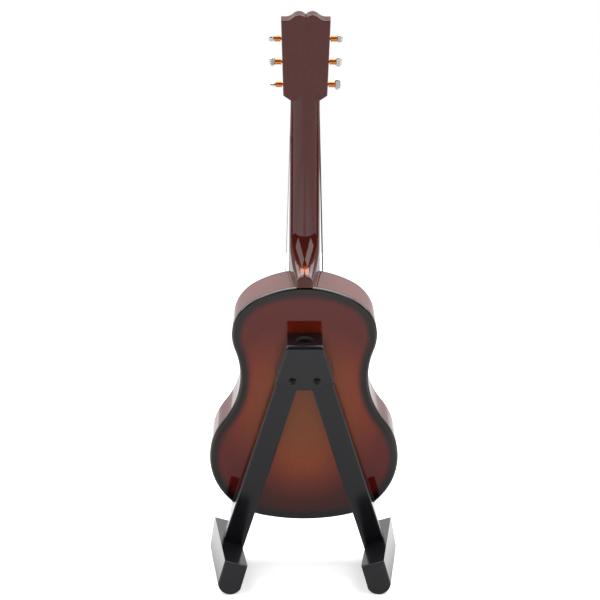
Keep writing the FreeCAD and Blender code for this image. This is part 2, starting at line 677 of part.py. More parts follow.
def string_x(number, step):
    """Place of a string across the instrument, the first on the right, the sixth on the left."""
    return f"({3.5 - number} * Sizes.{step})"


def bridge():
    """Glued bridge with a slot for the saddle and six holes for the string pins."""
    body = new_body("bridge")
    sketch = sketch_on(body, "XY_Plane", "plan", {"z": size("body_deep")})
    high = f"({SADDLE_V} + Sizes.bridge_ahead)"
    low = f"({high} - Sizes.bridge_deep)"
    half = "Sizes.bridge_wide / 2"
    polygon(sketch, [(f"-{half}", low), (half, low), (half, high), (f"-{half}", high)])
    pad(body, sketch, size("bridge_thick"))
    soften(body, "bridge_corner", lambda edge: abs(edge.Length - value(size("bridge_thick"))) < 1e-3,
           "Corners")
    top = value(BRIDGE_TOP)
    soften(body, "bridge_edge", lambda edge: flat_at(edge, "Z", top), "Edges")
    slot = sketch_on(body, "XY_Plane", "slot", {"z": BRIDGE_TOP})
    end, wall = "Sizes.saddle_wide / 2", "Sizes.saddle_thick / 2"
    polygon(slot, [(f"-{end}", f"{SADDLE_V} - {wall}"), (end, f"{SADDLE_V} - {wall}"),
                   (end, f"{SADDLE_V} + {wall}"), (f"-{end}", f"{SADDLE_V} + {wall}")])
    pocket(body, slot, size("saddle_sunk"), name="Saddle_slot")
    holes = sketch_on(body, "XY_Plane", "holes", {"z": BRIDGE_TOP})
    for number in PEGS:
        circle(holes, string_x(number, "bridge_step"), PIN_LINE, size("pin_shank"))
    pocket(body, holes, size("pin_sunk"), name="Pin_holes")
    keep(body, "bridge")


def saddle():
    """Bone strip with a rounded crest that the strings cross."""
    body = new_body("saddle")
    sketch = sketch_on(body, "YZ_Plane", "section", {"x": SADDLE_V})
    low = f"({BRIDGE_TOP} - Sizes.saddle_sunk)"
    crest = f"({BRIDGE_TOP} + Sizes.saddle_high)"
    half = "(Sizes.saddle_thick / 2)"
    rounded_bar(sketch, half, low, f"({crest} - {half})", crest)
    pad(body, sketch, size("saddle_wide"), middle=True)
    keep(body, "saddle")


def bridge_pins():
    """Six turned pins with low domed heads that hold the strings in the bridge."""
    pins = []
    for number in PEGS:
        place = (f"placement(vector({string_x(number, 'bridge_step')}; {PIN_LINE}; %s);"
                 " rotation(vector(0; 0; 1); 0))")
        shank = doc.addObject("Part::Cylinder", "Pin_shank")
        shank.setExpression("Radius", size("pin_shank"))
        shank.setExpression("Height", "Sizes.pin_sunk + Sizes.pin_dome / 2")
        shank.setExpression("Placement", place % f"{BRIDGE_TOP} - Sizes.pin_sunk")
        head = doc.addObject("Part::Cone", "Pin_head")
        head.setExpression("Radius1", size("pin_head"))
        head.setExpression("Radius2", "Sizes.pin_head / 2")
        head.setExpression("Height", size("pin_dome"))
        head.setExpression("Placement", place % BRIDGE_TOP)
        pin = doc.addObject("Part::Fuse", "Pin")
        pin.Base = shank
        pin.Tool = head
        pins.append(pin)
    group("bridge_pins", pins)


# ---------------------------------------------------------------- strings and posts
def string_round(number):
    return value(f"Sizes.string_thin + {number - 1} * Sizes.string_grow")


def string(number):
    """A taut wire from its bridge pin over saddle and nut to the inner side of its post.

    It bends in space, so it is swept along straight stretches with round corners.
    """
    radius = string_round(number)
    gap = value(size("string_gap"))
    x_nut, x_bridge = value(string_x(number, "nut_step")), value(string_x(number, "bridge_step"))
    crown = value("Sizes.saddle_thick / 2") + radius + gap
    saddle_axis = value(f"{BRIDGE_TOP} + Sizes.saddle_high - Sizes.saddle_thick / 2")
    nut_axis = value(f"{BOARD_TOP} + Sizes.nut_high") + radius + gap
    pin_edge = value(f"{PIN_LINE} + Sizes.pin_head") + radius + gap
    lift = radius + gap
    side = peg_side(number)
    tilt = math.radians(value(size("head_tilt")))
    along = value(peg_station(number))
    above = value(size("string_high"))
    post_x = side * (value("Sizes.post_x - Sizes.post_round") - radius - gap)
    post_y = value(NECK_END) + along * math.cos(tilt) + above * math.sin(tilt)
    post_z = value(size("body_deep")) - along * math.sin(tilt) + above * math.cos(tilt)
    path = Part.makePolygon([
        Vector(x_bridge, pin_edge, value(BRIDGE_TOP) + lift),
        Vector(x_bridge, value(SADDLE_V), saddle_axis + crown / math.cos(math.radians(25))),
        Vector(x_nut, value(size("nut_v")), nut_axis),
        Vector(post_x, post_y, post_z)])
    first = path.Vertexes[0].Point
    start = path.Vertexes[1].Point - first
    profile = Part.Wire([Part.makeCircle(radius, first, start)])
    wire = doc.addObject("Part::Feature", f"String{number}")
    wire.Shape = path.makePipeShell([profile], True, True, 2)
    keep(wire, f"string_{number}")


def string_posts():
    """Six plain posts set in the face of the headstock."""
    posts = []
    for number in PEGS:
        post = doc.addObject("Part::Cylinder", "Post")
        post.setExpression("Radius", size("post_round"))
        post.setExpression("Height", "Sizes.post_sunk + Sizes.post_high")
        post.setExpression("Placement", f"{HEADSTOCK} * placement(vector("
                           f"{peg_side(number)} * Sizes.post_x; {peg_station(number)};"
                           " -Sizes.post_sunk); rotation(vector(0; 0; 1); 0))")
        posts.append(post)
    group("string_posts", posts)


def post_bushings():
    """Thin rings around the posts."""
    rings = []
    for number in PEGS:
        place = (f"{HEADSTOCK} * placement(vector({peg_side(number)} * Sizes.post_x;"
                 f" {peg_station(number)}; 0); rotation(vector(0; 0; 1); 0))")
        outer = doc.addObject("Part::Cylinder", "Bushing_outer")
        outer.setExpression("Radius", size("bush_round"))
        outer.setExpression("Height", size("bush_high"))
        outer.setExpression("Placement", place)
        inner = doc.addObject("Part::Cylinder", "Bushing_inner")
        inner.setExpression("Radius", size("post_round"))
        inner.setExpression("Height", size("bush_high"))
        inner.setExpression("Placement", place)
        ring = doc.addObject("Part::Cut", "Bushing")
        ring.Base = outer
        ring.Tool = inner
        rings.append(ring)
    group("post_bushings", rings)


# ---------------------------------------------------------------- tuning pegs
# Quarter turns at which the six buttons were left, in degrees.
BUTTON_TURNS = {1: 20, 2: 65, 3: 40, 4: 125, 5: 100, 6: 75}
BARREL_END = "(Sizes.barrel_start + Sizes.barrel_long)"


def peg_frame(number):
    """Frame on a peg's axis at the headstock's edge, x pointing outwards."""
    side = peg_side(number)
    station = peg_station(number)
    edge = (f"(Sizes.head_low_half + (Sizes.head_top_half - Sizes.head_low_half)"
            f" * ({station} - Sizes.head_corner) / (Sizes.head_long - Sizes.head_corner))")
    face_out = 0 if side > 0 else 180
    spot = f"vector({side} * {edge}; {station}; -Sizes.head_thick / 2)"
    return (HEADSTOCK, f"placement({spot}; rotation(vector(0; 0; 1); {face_out}))",
            f"placement(vector(0; 0; 0); rotation(vector(1; 0; 0); {BUTTON_TURNS[number]}))")


def peg_barrel(number):
    """Turned peg: shaft in its bore, ribbed barrel, and a boss that carries the button."""
    body = new_body(f"peg_barrel_{number}")
    sketch = sketch_on(body, "XY_Plane", "profile")
    start, end = size("barrel_start"), BARREL_END
    shaft, full = size("peg_shaft"), size("barrel_round")
    waist = "(Sizes.barrel_round - Sizes.groove_deep)"
    corners = [("-Sizes.peg_sunk", "0"), ("-Sizes.peg_sunk", shaft), (start, shaft), (start, full)]
    for groove in range(1, 4):
        near = f"({start} + {groove} * Sizes.rib_pitch - Sizes.rib_groove / 2)"
        far = f"({start} + {groove} * Sizes.rib_pitch + Sizes.rib_groove / 2)"
        corners += [(near, full), (near, waist), (far, waist), (far, full)]
    tip = f"({end} + Sizes.boss_long)"
    corners += [(end, full), (end, size("boss_round")), (tip, size("boss_round")), (tip, "0")]
    polygon(sketch, corners)
    turned = body.newObject("PartDesign::Revolution", f"Turned_{body.Name}")
    turned.Profile = sketch
    turned.ReferenceAxis = (sketch, ["H_Axis"])
    turned.Angle = 360
    keep(body, f"peg_barrel_{number}", *peg_frame(number))


def peg_button(number):
    """Flat oval button pushed on the peg's boss."""
    body = new_body(f"peg_button_{number}")
    sketch = sketch_on(body, "XZ_Plane", "oval")
    radius = "(Sizes.button_out / 2)"
    straight = f"(Sizes.button_long / 2 - {radius})"
    middle = f"({BARREL_END} + {radius})"
    near, far = BARREL_END, f"({BARREL_END} + Sizes.button_out)"
    reach, centre = value(straight), value(middle)
    left = add_line(sketch, (value(near), -reach), (value(near), reach))
    right = add_line(sketch, (value(far), reach), (value(far), -reach))
    top = add_arc(sketch, (centre, reach), (value(far), reach), (value(near), reach))
    low = add_arc(sketch, (centre, -reach), (value(near), -reach), (value(far), -reach))
    for line, line_end, arc, arc_end in ((left, 2, top, 2), (right, 1, top, 1),
                                         (left, 1, low, 1), (right, 2, low, 2)):
        sketch.addConstraint(Sketcher.Constraint("Tangent", line, line_end, arc, arc_end))
    locate(sketch, top, 3, middle, straight)
    dimension(sketch, "Radius", (top,), radius)
    dimension(sketch, "DistanceY", (low, 3), f"-{straight}")
    pad(body, sketch, size("button_thick"), middle=True)
    soften(body, "button_edge", lambda edge: True)
    bore = sketch_on(body, "YZ_Plane", "bore", {"z": BARREL_END})
    circle(bore, 0, 0, size("boss_round"))
    pocket(body, bore, size("boss_long"), reverse=True, name="Bore")
    keep(body, f"peg_button_{number}", *peg_frame(number))


# ---------------------------------------------------------------- stand
def stand_head():
    """Moulded head: slanted sides, a slot that both legs turn in, and a socket in its top."""
    body = new_body("stand_head")
    sketch = sketch_on(body, "XY_Plane", "block", {"z": "-Sizes.head_deep"})
    top, side, chin = size("top_up"), "-Sizes.side_down", "-Sizes.chin_down"
    wide, narrow = size("side_half"), size("top_half")
    flat = "(Sizes.side_half - (Sizes.chin_down - Sizes.side_down) / tan(Sizes.splay))"
    polygon(sketch, [(f"-{narrow}", top), (f"-{wide}", side), (f"-{flat}", chin),
                     (flat, chin), (wide, side), (narrow, top)])
    pad(body, sketch, "Sizes.head_deep - Sizes.head_gap")
    high, rear = value(top), value("-Sizes.head_deep")
    soften(body, "head_round", lambda edge: flat_at(edge, "Y", high) and flat_at(edge, "Z", rear),
           "Rear_top")
    soften(body, "head_soft", lambda edge: flat_at(edge, "Z", rear), "Rear_edge")
    slot = sketch_on(body, "XY_Plane", "slot", {"z": "-Sizes.slot_front"})
    stop = "(Sizes.leg_half + Sizes.leg_offset + Sizes.stop_gap)"
    upper = f"(Sizes.pin_half + ({stop} - Sizes.slot_up * sin(Sizes.splay)) / cos(Sizes.splay))"
    lower = f"(Sizes.pin_half + ({stop} + Sizes.slot_down * sin(Sizes.splay)) / cos(Sizes.splay))"
    polygon(slot, [(f"-{upper}", size("slot_up")), (f"-{lower}", "-Sizes.slot_down"),
                   (lower, "-Sizes.slot_down"), (upper, size("slot_up"))])
    pocket(body, slot, size("slot_deep"), name="Slot")
    bores = sketch_on(body, "XY_Plane", "bores", {"z": "-Sizes.hinge_stop"})
    for sign in (-1, 1):
        circle(bores, f"{sign} * Sizes.pin_half", 0, size("hinge_round"))
    pocket(body, bores, name="Pin_bores")
    socket = sketch_on(body, "XZ_Plane", "socket", {"z": "-Sizes.top_up"})
    circle(socket, 0, "-Sizes.socket_z", size("socket_round"))
    pocket(body, socket, size("socket_deep"), reverse=True, name="Socket")
    doc.recompute()
    around = 2 * math.pi * value(size("socket_round"))
    rim = [f"Edge{i}" for i, edge in enumerate(body.Tip.Shape.Edges, start=1)
           if flat_at(edge, "Y", high) and abs(edge.Length - around) < 0.01]
    bored = body.Tip
    chamfer = body.newObject("PartDesign::Chamfer", "Socket_rim")
    chamfer.Base = (bored, rim)
    chamfer.setExpression("Size", size("socket_rim"))
    keep(body, "stand_head", STAND)


def hinge_pin(label, side):
    """Riveted pin: its shank crosses the slot, its low domed head shows on the rear face."""
    body = new_body(label)
    sketch = sketch_on(body, "XZ_Plane", "profile")
    shank, head = value(size("hinge_round")), value(size("rivet_round"))
    tip, rear = value("-Sizes.hinge_stop"), value("-Sizes.head_deep")
    crown = "(-Sizes.head_deep - Sizes.rivet_dome)"
    dome = "((Sizes.rivet_round^2 + Sizes.rivet_dome^2) / (2 * Sizes.rivet_dome))"
    spots = [(0, value(crown)), (0, tip), (shank, tip), (shank, rear), (head, rear)]
    lines = [add_line(sketch, spots[i], spots[i + 1]) for i in range(4)]
    centre = f"({crown} + {dome})"
    arc = add_arc(sketch, (0, value(centre)), spots[0], spots[4])
    for i in range(3):
        join(sketch, lines[i], 2, lines[i + 1], 1)
    join(sketch, lines[0], 1, arc, 1)
    join(sketch, lines[3], 2, arc, 2)
    locate(sketch, lines[0], 1, 0, crown)
    locate(sketch, lines[1], 1, 0, "-Sizes.hinge_stop")
    locate(sketch, lines[2], 1, size("hinge_round"), "-Sizes.hinge_stop")
    locate(sketch, lines[3], 1, size("hinge_round"), "-Sizes.head_deep")
    locate(sketch, lines[3], 2, size("rivet_round"), "-Sizes.head_deep")
    dimension(sketch, "DistanceY", (arc, 3), centre)
    turned = body.newObject("PartDesign::Revolution", f"Turned_{body.Name}")
    turned.Profile = sketch
    turned.ReferenceAxis = (sketch, ["V_Axis"])
    turned.Angle = 360
    place = f"placement(vector({side} * Sizes.pin_half; 0; 0); rotation(vector(0; 0; 1); 0))"
    keep(body, label, STAND, place)


# Drop of the arms' top face from the hinge pin: a plane square to the leg that clears the arc
# of the lower bout by rest_gap.
ARM_DROP = ("((Sizes.lower_wide / 2 - Sizes.lower_round - Sizes.pin_half) * sin(Sizes.splay)"
            " + (Sizes.pin_v - Sizes.lower_v) * cos(Sizes.splay)"
            " + Sizes.lower_round + Sizes.rest_gap)")


def leg(label, side):
    """One moulded L: leg, level foot with a thin toe, and an arm with a lip for the guitar."""
    body = new_body(label)
    shift = f"{side} * Sizes.leg_offset"
    bar = sketch_on(body, "XY_Plane", "bar", {"x": shift, "z": "-Sizes.leg_rear"})
    rounded_bar(bar, size("leg_half"), "(-Sizes.leg_drop - Sizes.leg_root)", "0", size("leg_half"))
    pad(body, bar, size("leg_thick"), name="Bar")
    rear, front = value("-Sizes.leg_rear"), value("Sizes.leg_thick - Sizes.leg_rear")
    low = value("-Sizes.leg_drop - Sizes.leg_root")
    soften(body, "leg_edge", lambda edge: (flat_at(edge, "Z", rear) or flat_at(edge, "Z", front))
           and not flat_at(edge, "Y", low), "Bar_edges")
    # the foot lies square to a plane tipped by TOE_TILT about x and turned outwards
    foot = sketch_on(body, "XY_Plane", "foot")
    foot.setExpression("AttachmentOffset",
                       f"placement(vector({side} * {FOOT_SHIFT}; 0; 0);"
                       f" rotation(vector(1; 0; 0); {TOE_TILT}))"
                       " * placement(vector(0; 0; 0);"
                       f" rotation(vector(0; 1; 0); {side} * Sizes.toe_out))")
    rounded_bar(foot, size("foot_half"), FOOT_TOP, f"({FOOT_TOP} - Sizes.foot_flank)", FOOT_LOW)
    pad(body, foot, size("foot_toe"), back=size("foot_rear"), name="Foot")
    toe = sketch_on(body, "YZ_Plane", "toe", None, TOE_TILT)
    tip = f"({FOOT_TOP} - Sizes.toe_thick)"
    past, below = "(Sizes.foot_toe + 1)", f"({FOOT_LOW} - 1)"
    polygon(toe, [(FOOT_LOW, size("toe_kink")), (tip, size("foot_toe")), (tip, past),
                  (below, past), (below, size("toe_kink"))])
    pocket(body, toe, f"4 * (Sizes.foot_half + {FOOT_SHIFT})", middle=True, name="Toe_taper")
    tilt, out = math.radians(value(TOE_TILT)), math.radians(value(size("toe_out")))
    along = Vector(side * math.sin(out), -math.sin(tilt) * math.cos(out),
                   math.cos(tilt) * math.cos(out))
    heel = value(f"{FOOT_SHIFT} * sin(Sizes.toe_out) - Sizes.foot_rear")
    soften(body, "foot_edge", lambda edge: all(abs(end.Point.dot(along) - heel) < 0.01
                                               for end in edge.Vertexes), "Foot_end")
    arm = sketch_on(body, "YZ_Plane", "arm", {"z": shift})
    top, root = f"(-{ARM_DROP})", "(Sizes.leg_thick / 2 - Sizes.leg_rear)"
    lip = "(Sizes.body_deep + Sizes.arm_gap)"
    reach = f"({lip} + Sizes.lip_thick)"
    polygon(arm, [(top, root), (top, lip), (f"({top} + Sizes.lip_high)", lip),
                  (f"({top} + Sizes.lip_high)", reach), (f"({top} - Sizes.arm_tip)", reach),
                  (f"({top} - Sizes.arm_deep)", root)])
    pad(body, arm, "2 * Sizes.arm_half", middle=True, name="Rest_arm")
    bore = sketch_on(body, "XY_Plane", "bore")
    circle(bore, 0, 0, "Sizes.hinge_round + Sizes.running")
    pocket(body, bore, name="Pin_bore")
    place = (f"placement(vector({side} * Sizes.pin_half; 0; 0);"
             f" rotation(vector(0; 0; 1); {side} * Sizes.splay))")
    keep(body, label, STAND, place)


# ---------------------------------------------------------------- build
back_plate()
rib("rib_left", -1)
rib("rib_right", 1)
soundboard()
rosette()
inner_block("neck_block", "(Sizes.body_top - Sizes.rib_thick - Sizes.block_deep)",
            "(Sizes.body_top + 1)")
inner_block("tail_block", "(Sizes.body_bottom + Sizes.rib_thick + Sizes.tail_deep)",
            "(Sizes.body_bottom - 1)")
neck()
heel_cap()
fretboard()
frets()
position_dots()
nut()
bridge()
saddle()
bridge_pins()
string_posts()
post_bushings()
for peg in PEGS:
    string(peg)
    peg_barrel(peg)
    peg_button(peg)
stand_head()
hinge_pin("hinge_pin_left", -1)
hinge_pin("hinge_pin_right", 1)
leg("leg_left", -1)
leg("leg_right", 1)

doc.recompute()
for thing in doc.Objects:
    if "Invalid" in thing.State or "Error" in thing.State:
        raise RuntimeError(f"{thing.Name} did not compute: {thing.State}")
os.makedirs("parts", exist_ok=True)
whole = FreeCAD.BoundBox()
for thing in parts:
    if thing.Shape.isNull() or not thing.Shape.isValid():
        raise RuntimeError(f"{thing.Label} has no valid shape")
    thing.Shape.exportStep(os.path.join("parts", thing.Label + ".step"))
    whole.add(thing.Shape.BoundBox)
print("parts", len(parts), "box", whole)
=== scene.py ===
import json
import math

import bmesh
import bpy
import numpy as np
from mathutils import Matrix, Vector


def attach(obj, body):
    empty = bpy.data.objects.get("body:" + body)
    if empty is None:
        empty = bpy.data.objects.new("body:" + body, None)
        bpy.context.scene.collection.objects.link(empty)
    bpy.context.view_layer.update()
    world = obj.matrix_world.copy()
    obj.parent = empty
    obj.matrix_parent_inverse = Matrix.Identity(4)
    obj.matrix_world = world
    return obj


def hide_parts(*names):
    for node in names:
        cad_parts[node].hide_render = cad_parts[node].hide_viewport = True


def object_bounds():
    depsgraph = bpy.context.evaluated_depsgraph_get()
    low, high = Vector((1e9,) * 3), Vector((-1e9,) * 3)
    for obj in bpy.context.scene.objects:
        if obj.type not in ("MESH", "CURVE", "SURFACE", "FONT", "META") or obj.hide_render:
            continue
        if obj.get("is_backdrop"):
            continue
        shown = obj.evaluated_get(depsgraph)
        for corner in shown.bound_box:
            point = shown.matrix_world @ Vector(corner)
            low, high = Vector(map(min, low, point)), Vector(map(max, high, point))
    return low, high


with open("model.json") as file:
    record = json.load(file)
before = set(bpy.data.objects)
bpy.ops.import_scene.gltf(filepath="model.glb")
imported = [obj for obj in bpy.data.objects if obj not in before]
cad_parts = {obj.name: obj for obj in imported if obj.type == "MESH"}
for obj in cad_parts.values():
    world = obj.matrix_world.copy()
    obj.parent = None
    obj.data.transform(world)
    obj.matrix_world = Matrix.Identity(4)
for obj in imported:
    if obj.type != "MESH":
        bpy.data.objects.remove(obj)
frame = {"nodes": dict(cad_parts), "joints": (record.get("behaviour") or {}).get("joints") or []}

nodes = frame["nodes"]
joints = {joint["name"]: joint for joint in frame["joints"]}
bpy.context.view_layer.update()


# ------------------------------------------------------------------ back plate
# One flat sheet of thin mahogany, cut to the guitar's outline, its outer edge rounded over and
# glued to the ribs.  Sprayed in a sunburst (brown centre, red, near-black rim) and lacquered.
OUTLINE = {"wide": 66.2, "lower": 23.1, "lower_v": -58.9, "waist": 26.6, "waist_v": -27.7,
           "upper": 15.0, "upper_v": -12.8, "top": 4.9, "bottom": -83.1}
BODY_DEEP = 18.8
PLATE_THICK = 1.5
# the rounded edge reaches this far in from the rim, and this far up the plate's side
BACK_ROUND = 0.8
BACK_DEEP = 1.42
# rings of points follow the rim as far in as this; further in they close on the middle line
BACK_LAP = 2.8
RIM_STEPS = 560
SPINE_V = -38.0
SPINE_SHARE = 0.62


def corners_of(name):
    """All vertices of a CAD node as an array, in metres."""
    mesh = nodes[name].data
    flat = np.empty(len(mesh.vertices) * 3)
    mesh.vertices.foreach_get("co", flat)
    return flat.reshape(-1, 3)


# The guitar's own frame: x across, v up the neck, z out of the front, zero on the back plate.
ACROSS = np.array([1.0, 0.0, 0.0])
UP = np.array(joints["guitar_lift"]["axis"])
FRONT = np.cross(ACROSS, UP)
LEAN = math.acos(UP[2])
back = corners_of("back_plate")
ORIGIN = UP * ((back @ UP).max() - OUTLINE["top"] / 1000) + FRONT * (back @ FRONT).min()


def to_world(points):
    """Points of the guitar's frame in mm, as metres of the model's frame."""
    points = np.asarray(points, float) / 1000
    return ORIGIN + points @ np.array([ACROSS, UP, FRONT])


def outline(steps, inset=0.0):
    """The body's outline as points and outward normals, anticlockwise from the tail.

    Each half is five tangent arcs: tail, lower bout, waist, upper bout, shoulder.  Arcs that
    touch from outside have centres a sum of radii apart, the others a difference; an inset
    only changes the radii.
    """
    o = OUTLINE
    lower = np.array([o["wide"] / 2 - o["lower"], o["lower_v"]])
    reach = o["lower"] + o["waist"]
    aside = math.sqrt(reach ** 2 - (o["waist_v"] - lower[1]) ** 2)
    waist = np.array([lower[0] + aside, o["waist_v"]])
    reach = o["waist"] + o["upper"]
    aside = math.sqrt(reach ** 2 - (o["upper_v"] - waist[1]) ** 2)
    upper = np.array([waist[0] - aside, o["upper_v"]])

    def end_round(centre, radius, rise):
        """Radius of an end arc on the middle line that touches a side arc and ends at rise."""
        return (radius ** 2 - centre[0] ** 2 - rise ** 2) / (2 * (radius - rise))

    tail_r = end_round(lower, o["lower"], lower[1] - o["bottom"])
    crown_r = end_round(upper, o["upper"], o["top"] - upper[1])
    tail = np.array([0.0, o["bottom"] + tail_r])
    crown = np.array([0.0, o["top"] - crown_r])

    def heading(first, second):
        """Bearing of the second point from the first."""
        return math.atan2(second[1] - first[1], second[0] - first[0])

    a, b = heading(tail, lower), heading(lower, waist)
    c, d = heading(upper, waist), heading(crown, upper)
    arcs = [(tail, tail_r, -math.pi / 2, a, 1), (lower, o["lower"], a, b, 1),
            (waist, o["waist"], b + math.pi, c + math.pi, -1), (upper, o["upper"], c, d, 1),
            (crown, crown_r, d, math.pi / 2, 1)]
    lengths = [abs(finish - start) * radius for _, radius, start, finish, _ in arcs]
    spots, normals = [], []
    for (centre, radius, start, finish, sign), length in zip(arcs, lengths):
        count = max(3, round(steps / 2 * length / sum(lengths)))
        angle = np.linspace(start, finish, count, endpoint=False)
        ray = np.stack([np.cos(angle), np.sin(angle)], axis=1)
        spots.append(centre + (radius - sign * inset) * ray)
        normals.append(sign * ray)
    spots.append([[0.0, o["top"] - inset]])
    normals.append([[0.0, 1.0]])
    right, facing = np.concatenate(spots), np.concatenate(normals)
    mirror = np.array([-1.0, 1.0])
    return (np.concatenate([right, right[-2:0:-1] * mirror]),
            np.concatenate([facing, facing[-2:0:-1] * mirror]))


WELD = 1e-6
CREASE = math.radians(40)


def grid_piece(name, points, body, wrap=(False, True), fields=None):
    """A closed mesh over a grid of points: four neighbours of the grid make each face.

    Either direction may join its ends.  Rows that shrink to a point or a line are merged, and
    the faces are turned outwards by the sign of the volume they enclose.  fields are numbers
    kept at the points under a name.
    """
    rows, columns = points.shape[:2]
    spots = to_world(points.reshape(-1, 3))
    r = np.arange(rows if wrap[0] else rows - 1)[:, None]
    c = np.arange(columns if wrap[1] else columns - 1)[None, :]
    up, along = (r + 1) % rows, (c + 1) % columns
    faces = np.stack([r * columns + c, r * columns + along, up * columns + along,
                      up * columns + c], axis=-1).reshape(-1, 4)
    corner = spots[faces]
    volume = (np.cross(corner[:, 1], corner[:, 2]) * corner[:, 0]).sum()
    volume += (np.cross(corner[:, 2], corner[:, 3]) * corner[:, 0]).sum()
    if volume < 0:
        faces = faces[:, ::-1]
    mesh = bpy.data.meshes.new(name)
    mesh.from_pydata(spots, [], faces)
    for label, numbers in (fields or {}).items():
        mesh.attributes.new(label, "FLOAT", "POINT").data.foreach_set("value", numbers.ravel())
    work = bmesh.new()
    work.from_mesh(mesh)
    bmesh.ops.remove_doubles(work, verts=work.verts, dist=WELD)
    work.to_mesh(mesh)
    work.free()
    mesh.polygons.foreach_set("use_smooth", np.ones(len(mesh.polygons), bool))
    mesh.set_sharp_from_angle(angle=CREASE)
    piece = bpy.data.objects.new(name, mesh)
    bpy.context.scene.collection.objects.link(piece)
    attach(piece, body)
    return piece


FINE_STEPS = 900
BATCHES = 40


def edge_distance(points):
    """How far each point lies from the body's outline, in mm: the least distance to its points.

    It is worked out in batches, which spares memory.
    """
    rim, _ = outline(FINE_STEPS)
    flat = points[..., :2].reshape(-1, 1, 2)
    return np.concatenate([np.sqrt(((part - rim) ** 2).sum(-1)).min(-1)
                           for part in np.array_split(flat, BATCHES)]).reshape(points.shape[:2])


def plate(profile, steps, inner):
    """A plate: a profile of (inset, z) pairs swept round the outline, closed over the inside.

    inner gives, for the outline's points, where the plate's inside begins.  The rings between it
    and the profile are shares of the way out.
    """
    rim, facing = outline(steps)
    ring = rim[None] - profile[:, :1, None] * facing[None]
    height = np.broadcast_to(profile[:, 1:, None], ring.shape[:2] + (1,))
    edge = np.concatenate([ring, height], 2)
    deepest = rim - profile[0, 0] * facing
    share = np.array([0.0, 0.3, 0.55, 0.75, 0.9])[:, None, None]
    inside = inner + (deepest - inner) * share
    level = np.full(inside.shape[:2] + (1,), 1.0)
    start = np.concatenate([inside, level * profile[0, 1]], 2)
    finish = np.concatenate([inside[::-1], level * profile[-1, 1]], 2)
    return np.concatenate([start, edge, finish])


def quarter(count=9):
    """Angles of a rounded edge, from flat to upright."""
    return np.linspace(0, math.pi / 2, count)


turn = quarter()
back_profile = np.concatenate([
    [[BACK_LAP, 0], [2.2, 0], [1.7, 0], [BACK_ROUND + 0.03, 0]],
    np.stack([BACK_ROUND * (1 - np.sin(turn)), BACK_DEEP * (1 - np.cos(turn))], axis=1),
    [[0, PLATE_THICK - 0.05], [0, PLATE_THICK], [0.05, PLATE_THICK], [BACK_LAP, PLATE_THICK]]])
rim, _ = outline(RIM_STEPS)
spine = np.stack([np.zeros(len(rim)), SPINE_V + (rim[:, 1] - SPINE_V) * SPINE_SHARE], axis=1)
back_grid = plate(back_profile, RIM_STEPS, spine)
back_piece = grid_piece("back_plate_lacquered", back_grid, "guitar",
                        fields={"edge_mm": edge_distance(back_grid)})
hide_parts("back_plate")


def linear(code):
    """A colour written as sRGB hex, as the linear values that a shader takes.

    Dark parts are divided by 12.92; the others are shifted, scaled and raised to 2.4.
    """
    parts = np.array([int(code[i:i + 2], 16) for i in (1, 3, 5)]) / 255
    curve = np.where(parts <= 0.04045, parts / 12.92, ((parts + 0.055) / 1.055) ** 2.4)
    return (*curve.tolist(), 1.0)


def add(tree, kind, inputs=None, **settings):
    """Add a node, give it its settings, and set or link its inputs by name or number."""
    node = tree.nodes.new("ShaderNode" + kind)
    for key, content in settings.items():
        setattr(node, key, content)
    for key, content in (inputs or {}).items():
        if isinstance(content, bpy.types.NodeSocket):
            tree.links.new(content, node.inputs[key])
        else:
            node.inputs[key].default_value = content
    return node


def new_material(name):
    """An empty material with its node tree and its finished shader."""
    material = bpy.data.materials.new(name)
    material.use_nodes = True
    tree = material.node_tree
    return material, tree, tree.nodes["Principled BSDF"]


def wear(material, *pieces):
    """Give pieces their one material."""
    for piece in pieces:
        piece.data.materials.clear()
        piece.data.materials.append(material)


def guitar_space(tree):
    """Object coordinates turned into the guitar's frame, in mm."""
    turned = -(math.pi / 2 - LEAN)
    place = -1000 * np.array([ORIGIN @ ACROSS, ORIGIN @ UP, ORIGIN @ FRONT])
    coordinates = add(tree, "TexCoord")
    return add(tree, "Mapping", {"Vector": coordinates.outputs["Object"], "Location": place,
                                 "Rotation": (turned, 0, 0), "Scale": (1000,) * 3}).outputs[0]


# Gloss lacquer, sprayed and polished: a sharp mirror on top, with the colour below it.
COAT = {"Roughness": 0.55, "Specular IOR Level": 0.0, "Coat Weight": 1.0,
        "Coat Roughness": 0.03, "Coat IOR": 1.5}


def lacquered(bsdf):
    """Put the lacquer's constants on a shader."""
    for key, content in COAT.items():
        bsdf.inputs[key].default_value = content


# the burst warms from red to brown inside an upright oval, centred below the neck's joint
BURST_WIDE = 72.0
BURST_TALL = 90.0
BURST_BELOW = 41.0
PORE_WIDE = 0.3
PORE_LONG = 5.0
# painted shade: the spans along the neck's direction over which the back plate is darkened, at
# the tail and below the heel
TAIL_PAINTED_SHADE = (-82.0, -64.0)
HEEL_PAINTED_SHADE = (-0.5, 3.5)
RIM_BLACK = 1.9
RIM_CLEAR = 4.6

burst_back, tree, bsdf = new_material("sunburst_lacquer_on_mahogany")
lacquered(bsdf)
space = guitar_space(tree)
heart = add(tree, "Mapping", {"Vector": space, "Location": (0, 2 * BURST_BELOW / BURST_TALL, 0),
                              "Scale": (2 / BURST_WIDE, 2 / BURST_TALL, 0)})
spread = add(tree, "VectorMath", {0: heart.outputs[0]}, operation="LENGTH")
colours = add(tree, "ValToRGB", {"Fac": spread.outputs["Value"]})
ramp = colours.color_ramp
ramp.elements[0].position = 0.2
ramp.elements[0].color = linear("#7B3D13")
ramp.elements[1].position = 1.0
ramp.elements[1].color = linear("#52100D")
for position, colour in ((0.42, "#82370E"), (0.62, "#6E240C"), (0.78, "#58150D")):
    ramp.elements.new(position).color = linear(colour)
